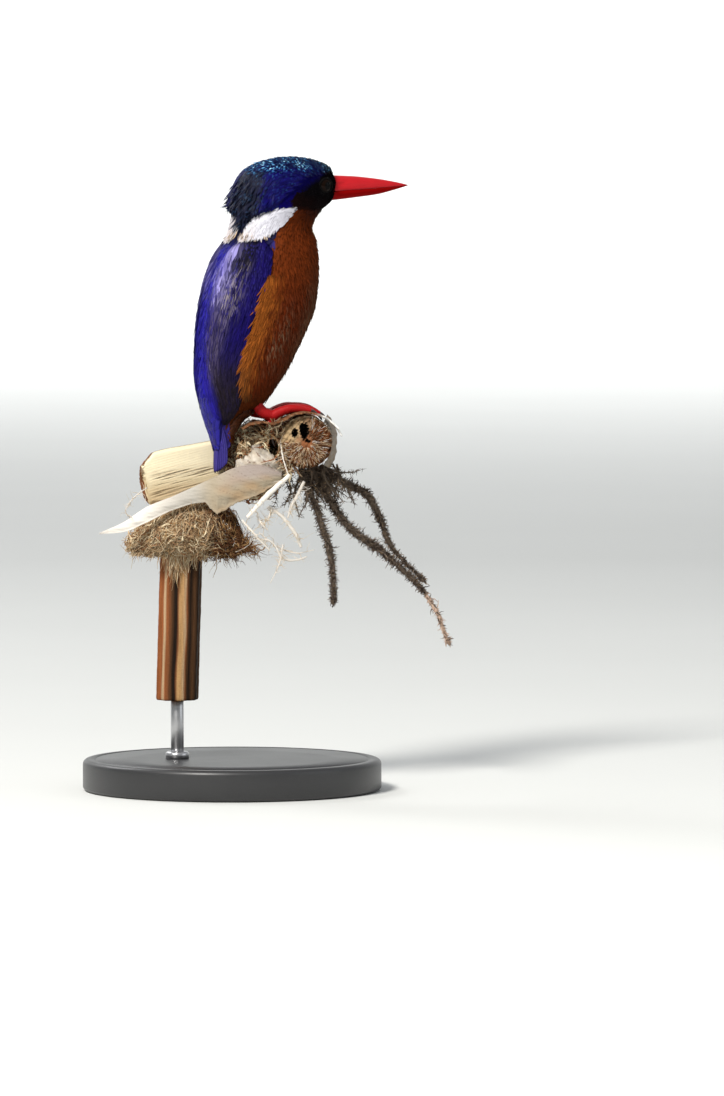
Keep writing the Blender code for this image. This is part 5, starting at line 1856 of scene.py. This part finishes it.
def buildLumps():
    # each lump is a rough bed under matted fibres and flat scraps
    for kind, colours, count, scraps in (("clump", clumpPaint, 5200, 700), ("knot", knotPaint, 2400, 900)):
        rise = np.sin(np.linspace(-math.pi / 2, math.pi / 2, 64) * 0.99)[:, None]
        grid, out = lumpSurface(kind, turns(110)[None], rise, 1.2)
        rough = 0.55 * ripple(grid, 1.1, 2.0) + 0.35 * ripple(grid, 0.5, 6.0)
        grid = bent(kind, grid + out * rough[..., None])
        paint = colours(grid, 0.5 + 0.5 * ripple(grid, 0.8, 3.0), np.full(rough.shape, 0.5))
        # the bed is darker in its hollows and everywhere under the fibres: painted shade
        paint = paint * (0.25 + 0.6 * soft(rough, -0.6, 0.5))[..., None]
        piece = loftPieces(kind + "Bed", [grid], tint=[paint])
        settle(piece, barkFinish(kind + "Bed", plain, 1500, 0.9, 0.3, 0.6), "reed_fibre", "perch_" + kind)
        fibre = barkFinish(kind + "Fibre", plain, 2500, 0.9, 0.05, 0.35)
        layStrands(kind + "Fibres", *layMat(kind, count, 0.9, (1.2, 4.2), (0.07, 0.19), colours, 1.1), fibre)
        mat = layMat(kind, scraps, 0.7, (1.2, 3.8), (0.06, 0.11), colours, 0.5)
        layStrands(kind + "Scraps", *mat, fibre, sides=4, flat=5.0)
    return fibre


def layClumpEnds(fibre):
    # loose ends hang and stand out round the clump's lower edge
    count = 420
    turn = rng.uniform(0, 2 * math.pi, count)
    start, out = lumpSurface("clump", turn, rng.uniform(-0.85, -0.30, count), 0.5)
    heading = out * [1, 1, 0.5] + rng.normal(0, 0.5, (count, 3)) - [0, 0, 0.25]
    length = rng.uniform(1.0, 2.0, count) + 2.6 * rng.random(count) ** 4
    line = bent("clump", curled(start, heading, length, 6, 0.6, 0.12))
    thick = rng.uniform(0.07, 0.17, count)
    layStrands("clumpEdge", line, thick, clumpPaint(start, rng.random(count), rng.random(count)), fibre)
    # a loose dark tangle off the clump's low right end
    count = 700
    far = rng.random(count) ** 1.3
    side = rng.uniform(-8, 6, count)
    start = places(-9.0 + 15.5 * far, side, 73.2 + (9.5 - 8.0 * far) * rng.random(count))
    heading = rng.normal(size=(count, 3)) * [1, 0.7, 0.7]
    line = curled(start, heading, rng.uniform(1.5, 5.5, count), 6, 0.7, 0.15)
    paint = clumpPaint(start + [9.0, 0, 0], rng.random(count), rng.random(count))
    layStrands("clumpTangle", line, rng.uniform(0.08, 0.22, count), paint, fibre)
    # a beard of bark fibres hangs from the clump down the cane's near side
    count = 420
    spread = rng.normal(0, 1, count)
    side = -0.9 - 0.2 * rng.random(count) + 0.05 * spread ** 2
    start = places(-16.6 + 2.6 * spread, side, rng.uniform(71.5, 76.5, count))
    heading = rng.normal(-0.05, 0.12, count), rng.normal(-0.02, 0.05, count)
    near = np.exp(-((start[:, 0] + 18.6) / 1.2) ** 2)
    length = rng.uniform(1.5, 5.0, count) + near * rng.uniform(0, 7.5, count)
    line = curled(start, places(*heading, -1.0), length, 8, 0.14, 0.03)
    paint = clumpPaint(start - [6, 0, 0], rng.random(count), rng.random(count))
    layStrands("caneBeard", line, rng.uniform(0.07, 0.2, count), paint, fibre)


def buildKnotPaper():
    # a papery skin over the knot's near side, torn along its top
    x, share = np.linspace(0.2, 14.6, 46)[:, None], np.linspace(0, 1, 26)[None]
    top = np.interp(x, *knotPaperTop) + 0.7 * np.sin(x * 2.3) * np.sin(x * 0.9 + 1) + 0.3 * np.sin(x * 6.1)
    z = 96.0 + (top - 96.0) * share
    place = places(x, 0, z)
    crease = 0.35 * ripple(place, 1.6, 2.0) + 0.15 * ripple(place, 0.6, 5.0) + 0.8 * share ** 4
    walls = [onLump("knot", x + 0 * z, z, 1.35 + crease + part) for part in (0.22, 0.0)]
    grid = np.concatenate([walls[0], walls[1][:, ::-1]], 1)
    paint = wood(
        "paper",
        ("bone", 0.4 + 0.4 * ripple(grid, 1.5, 3.0)),
        ("russet", soft(ripple(grid, 0.9, 8.0), 0.45, 0.8) * 0.8),
    )
    piece = loftPieces("knotPaper", [grid[:, ::-1]], tint=[paint[:, ::-1]])
    settle(piece, barkFinish("paperSkin", plain, 1200, 0.7, 0.1, 0.3), "reed_pale")


def layBridge(fibre):
    # loose scraps and fibres bridge the knot and the stub, round the dark hollow
    count = 760
    x, z = rng.uniform(5.5, 16.5, count), rng.uniform(98.5, 113.4, count)
    keep = (hollowAt(x, z) > 1) & (z < 105.5 + 0.75 * (x - 5) + 3.4) & (z > np.interp(x, *knotPaperTop) + 0.3)
    x, z = x[keep], z[keep]
    count = len(x)
    start = places(x, -8.8 + 1.6 * soft(z, 104, 112) - rng.uniform(0, 1.2, count), z)
    heading = rng.normal(size=(count, 3)) * [1.0, 0.35, 0.8] + [0.25, 0, 0.1]
    line = curled(start, heading, rng.uniform(1.5, 4.5, count), 6, 0.5, 0.1)
    clear = (hollowAt(line[..., 0], line[..., 2]) > 0.8).all(1)
    line, start, count = line[clear], start[clear], clear.sum()
    tint = knotPaint(start - [2.0, 0, 0], rng.random(count), rng.random(count))
    layStrands("bridgeScraps", line, rng.uniform(0.08, 0.16, count), tint, fibre, sides=4, flat=3.2)


roots = {
    "a": [
        (21.4, -3.0, 99.5, 1.25), (27.7, -4.5, 81.5, 1.0), (30.7, -5.0, 70.2, 0.85), (31.2, -5.5, 60.5, 0.5),
        (31.3, -5.6, 56.8, 0.08),
    ],
    "b": [
        (26.2, 0.5, 98.5, 1.25), (36.7, -1.0, 81.5, 1.0), (48.4, -1.5, 72.6, 0.75), (59.6, -2.0, 62.6, 0.5),
        (65.2, -2.2, 55.4, 0.62), (69.4, -2.5, 45.8, 0.5), (70.4, -2.6, 43.5, 0.06),
    ],
    "c": [
        (30.2, 4.5, 98.5, 1.2), (38.4, 4.5, 93.6, 1.1), (46.0, 4.5, 89.6, 1.0), (50.4, 5.0, 82.0, 0.8),
        (54.6, 5.5, 73.0, 0.55), (62.6, 6.3, 65.2, 0.3), (65.6, 6.5, 62.4, 0.07),
    ],
}


def rootBumps(turn, share):
    bumps = 0.22 * np.sin(share * 160 + 3 * np.sin(turn)) * np.sin(turn * 2 + share * 40)
    return 1 + bumps + 0.18 * np.sin(share * 71 + turn * 3)


def buildRoot(key, rows, made):
    # a knobbly stem; the middle root's broken end is pale
    wavy = smoothPath(rows, 34)
    s = np.linspace(0, 1, 34)
    wavy[:, 0] += 0.35 * np.sin(s * 31 + ord(key)) * np.sin(s * math.pi)
    wavy[:, 1] += 0.35 * np.cos(s * 27 + ord(key)) * np.sin(s * math.pi)
    wavy[:, 3] *= 0.78 if key == "a" else 0.95
    grid = sweep(wavy, 150, 14, rootBumps)
    tip = soft(np.linspace(0, 1, 150), 0.54, 0.60)[:, None] * (key == "b")
    flecks = soft(ripple(grid, 0.55, 4.0), -0.5, 0.1)
    paint = wood("root", ("hair", 0.5 + 0.5 * ripple(grid, 1.2, 1.0)), ("rootTip", tip * flecks))
    piece = loftPieces("rootStem_" + key, [grid], tint=[paint])
    settle(piece, made, "reed_fibre", "perch_root_" + key)


def layRootHairs(key, rows, made):
    # hairs in bunches all along a root, thinner down its length, with a last few past its end
    stations, perLength, ends, bareFrom = 400, 50, 14, 224
    path = smoothPath(rows, stations)
    count = int(np.linalg.norm(np.diff(path[:, :3], axis=0), axis=1).sum() * perLength)
    pick = rng.integers(4, stations - 1, count)
    bare = (pick > bareFrom) & (rng.random(count) < 0.75) & (key == "b")
    pick = np.where(bare, rng.integers(4, bareFrom, count), pick)
    pick[:ends] = stations - 1
    ahead = unit(np.gradient(path[:, :3], axis=0))[pick]
    out = level(rng.normal(size=(count, 3)), ahead)
    start = path[pick, :3] + out * path[pick, 3:] * 0.4
    thin = 1 - 0.5 * (pick / stations)
    bunch = 0.5 + 0.5 * ripple(start, 0.9, 5.0)
    spike = rng.random(count) < 0.16 * bunch
    length = rng.uniform(0.8, 2.2, count) * thin * rng.uniform(0.6, 1.3, count) * (0.75 + 0.4 * bunch)
    length = length + spike * rng.uniform(0.6, 1.5, count) * thin
    lean = np.where(pick[:, None] > stations - 4, 2.5, rng.normal(0.25, 0.4, (count, 1)))
    line = curled(start, out + ahead * lean + rng.normal(0, 0.2, (count, 3)), length, 4, 0.4, 0.08)
    paint = wood(
        "rootDark",
        ("rootLight", rng.random(count) ** 1.8),
        ("rootTip", ((pick > bareFrom + 6) & (key == "b") & (rng.random(count) < 0.65)) * 0.9),
        ("tan", (rng.random(count) < 0.10) * 0.5),
    )
    layStrands("rootHairs_" + key, line, rng.uniform(0.07, 0.22, count) + 0.05 * spike, paint, made)


def laySideRoots(made):
    # short side roots hang in a tangle under the stub, with hairs of their own
    count, hairs, stations = 46, 2600, 12
    start = places(rng.uniform(17.5, 33, count), rng.uniform(-7, 6, count), rng.uniform(96.5, 100.5, count))
    drift = 0.05 * (start[:, 0] - 22) + rng.normal(0, 0.35, count)
    heading = places(drift, rng.normal(0, 0.3, count), -1.0)
    line = curled(start, heading, rng.uniform(4.5, 14.0, count), stations, 0.45, 0.07)
    paint = wood("root", ("hair", rng.random(count)))
    layStrands("sideRoots", line, rng.uniform(0.18, 0.42, count), paint, made, sides=6)
    pick, at = rng.integers(0, count, hairs), rng.integers(1, stations, hairs)
    heading = rng.normal(size=(hairs, 3)) + [0, 0, -0.3]
    line = curled(line[pick, at], heading, rng.uniform(0.6, 2.0, hairs), 4, 0.4, 0.08)
    paint = wood("root", ("hair", rng.random(hairs)), ("tan", (rng.random(hairs) < 0.12) * 0.6))
    layStrands("sideHairs", line, rng.uniform(0.07, 0.16, hairs), paint, made)


def buildRoots():
    made = barkFinish("rootBark", plain, 1400, 0.85, 0.2, 0.6)
    for key, rows in roots.items():
        buildRoot(key, rows, made)
        layRootHairs(key, rows, made)
    laySideRoots(made)


rootlets = [
    # pale dry rootlets about the clump and the knot, each a path with its radius
    [(1.2, -10.6, 84.4, 0.52), (4.2, -11.0, 87.6, 0.74), (8.0, -11.4, 91.6, 0.84), (14.7, -11.8, 97.3, 0.64)],
    [(9.0, -8.0, 87.5, 0.35), (13.0, -9.0, 84.5, 0.55), (17.0, -9.5, 79.5, 0.6), (19.2, -9.5, 74.8, 0.45)],
    [(20.5, -8.5, 95.0, 0.45), (18.5, -9.0, 91.5, 0.5), (16.2, -9.2, 87.5, 0.4), (15.0, -9.0, 83.8, 0.28)],
    [(0.5, -8.0, 83.5, 0.3), (3.4, -9.0, 80.0, 0.35), (6.0, -9.6, 77.0, 0.3), (9.0, -9.6, 74.0, 0.22)],
    [
        (4.5, -9.0, 77.6, 0.25), (8.5, -9.6, 77.2, 0.3), (11.0, -9.6, 75.0, 0.28), (13.0, -9.4, 71.5, 0.3),
        (17.0, -9.0, 70.8, 0.32), (21.5, -8.5, 71.8, 0.2),
    ],
    [(13.2, -9.6, 75.8, 0.3), (12.0, -9.9, 70.0, 0.25), (9.0, -9.9, 64.0, 0.12)],
    [(5.0, -8.6, 85.0, 0.3), (6.5, -9.8, 82.0, 0.35), (8.2, -9.6, 80.4, 0.22)],
    [(10.0, -8.6, 87.2, 0.3), (8.6, -9.8, 84.2, 0.3), (6.8, -9.8, 82.4, 0.2)],
    [(-28.0, -1.0, 93.6, 0.16), (-32.6, -2.0, 90.6, 0.18), (-35.2, -2.2, 86.8, 0.16), (-33.6, -2.0, 84.4, 0.12)],
    [(12.2, -10.2, 107.4, 0.20), (13.0, -10.8, 102.0, 0.25), (14.6, -10.9, 97.0, 0.18)],
    [(6.0, -8.0, 79.5, 0.2), (12.0, -8.4, 75.0, 0.24), (18.0, -8.0, 73.0, 0.2), (24.5, -7.0, 73.8, 0.12)],
]


def buildRootlets():
    made = barkFinish("rootletSkin", plain, 1500, 0.6, 0.08, 0.3)
    grids = [sweep(rows, 40, 10, lambda turn, share: 1 + 0.08 * np.sin(share * 40 + turn)) for rows in rootlets]
    bone = np.array(perchTones["bone"])
    paints = [np.broadcast_to(bone * (1 - 0.12 * (i % 3)), grid.shape) for i, grid in enumerate(grids)]
    settle(loftPieces("pegAndRootlets", grids, tint=paints), made, "reed_pale", "perch_peg")
    count = 260
    pick, where = rng.integers(0, len(rootlets), count), rng.integers(4, 36, count)
    starts = np.array([smoothPath(rows, 40)[:, :3] for rows in rootlets])[pick, where]
    heading = rng.normal(size=(count, 3)) + [0, -0.4, -0.2]
    line = curled(starts, heading, rng.uniform(1.5, 4.0, count), 6, 0.5, 0.1)
    thick = rng.uniform(0.06, 0.13, count)
    layStrands("fineRootlets", line, thick, wood("bone", ("straw", rng.random(count))), made, "reed_pale")


buildCane()
buildCulm()
buildSheath()
buildStub()
layFaceFibres()
buildPeels()
fibreFinish = buildLumps()
layClumpEnds(fibreFinish)
buildKnotPaper()
layBridge(fibreFinish)
buildRoots()
buildRootlets()
print("stage: perch")


# the display stand

stand = {
    "radius": 46.0, "thick": 9.5, "edge": 1.6,
    # the groove's place, depth and half width
    "groove": (42.2, 0.35, 0.5),
    # the rod's place, radius, foot and top, and the collar's radius and height
    "rod": (-15.8, 6.0, 2.0, 9.5, 27.4), "collar": (3.6, 2.2),
}


def lathe(profile, centre, around):
    # radius and height pairs, carried once round an upright axis
    radius, height = np.array(profile, float).T[..., None]
    turn = turns(around)
    return places(centre[0] + radius * np.cos(turn), centre[1] + radius * np.sin(turn), height)


def buildStand():
    r, t, e = stand["radius"], stand["thick"], stand["edge"]
    place, deep, wide = stand["groove"]
    profile = [(0.5, 0), (r - 1.2, 0), (r - 0.4, 0.25), (r, 0.9)]
    profile += [(r - e + e * math.cos(a), t - e + e * math.sin(a)) for a in np.linspace(0, math.pi / 2, 9)]
    groove = ((1, 0), (0.7, 0.8), (0, 1), (-0.7, 0.8), (-1, 0))
    profile += [(place + wide * off, t - deep * sunk) for off, sunk in groove]
    profile += [(30, t), (0.5, t)]
    made = Maker("standPaint", Roughness=0.38, Coat_Weight=0.15, Coat_Roughness=0.3)
    stipple = made.noise(made.place(), 1600, 3, 0.6)
    dust = made.noise(made.place(), 60, 4, 0.6)
    made.colour(made.mix(dust * 0.5 + stipple * 0.3, (0.016, 0.016, 0.017), (0.034, 0.034, 0.036)))
    made.rough(0.34 + dust * 0.12 + stipple * 0.06)
    made.bump(stipple, 0.04, 0.5)
    plinth = loftPieces("stand_plinth", [lathe(profile, (0, 0), 160)])
    settle(plinth, made.material, "stand_base", "stand_base")
    x, y, rod, low, high = stand["rod"]
    brushed = (1, 1, 0.02), 3000, 3
    steel = speckFinish(
        "standSteel", brushed, (0.42, 0.42, 0.43), (0.66, 0.66, 0.67), 0.015, 0.5, (0.24, 0.16), Metallic=1.0,
    )
    profile = [(rod - 0.3, low + 0.3), (rod, low + 0.6), (rod, high - 0.3), (rod - 0.2, high)]
    settle(loftPieces("stand_post", [lathe(profile, (x, y), 48)]), steel, "stand_rod", "stand_rod")
    wide, tall = stand["collar"]
    foot, top = low + 0.02, low + tall
    profile = [(rod + 0.03, foot), (wide, foot), (wide, top - 0.5), (wide - 0.5, top), (rod + 0.03, top)]
    settle(hoop("stand_collar", lathe(profile, (x, y), 48)), steel, "stand_rod")


buildStand()
print("stage: stand")
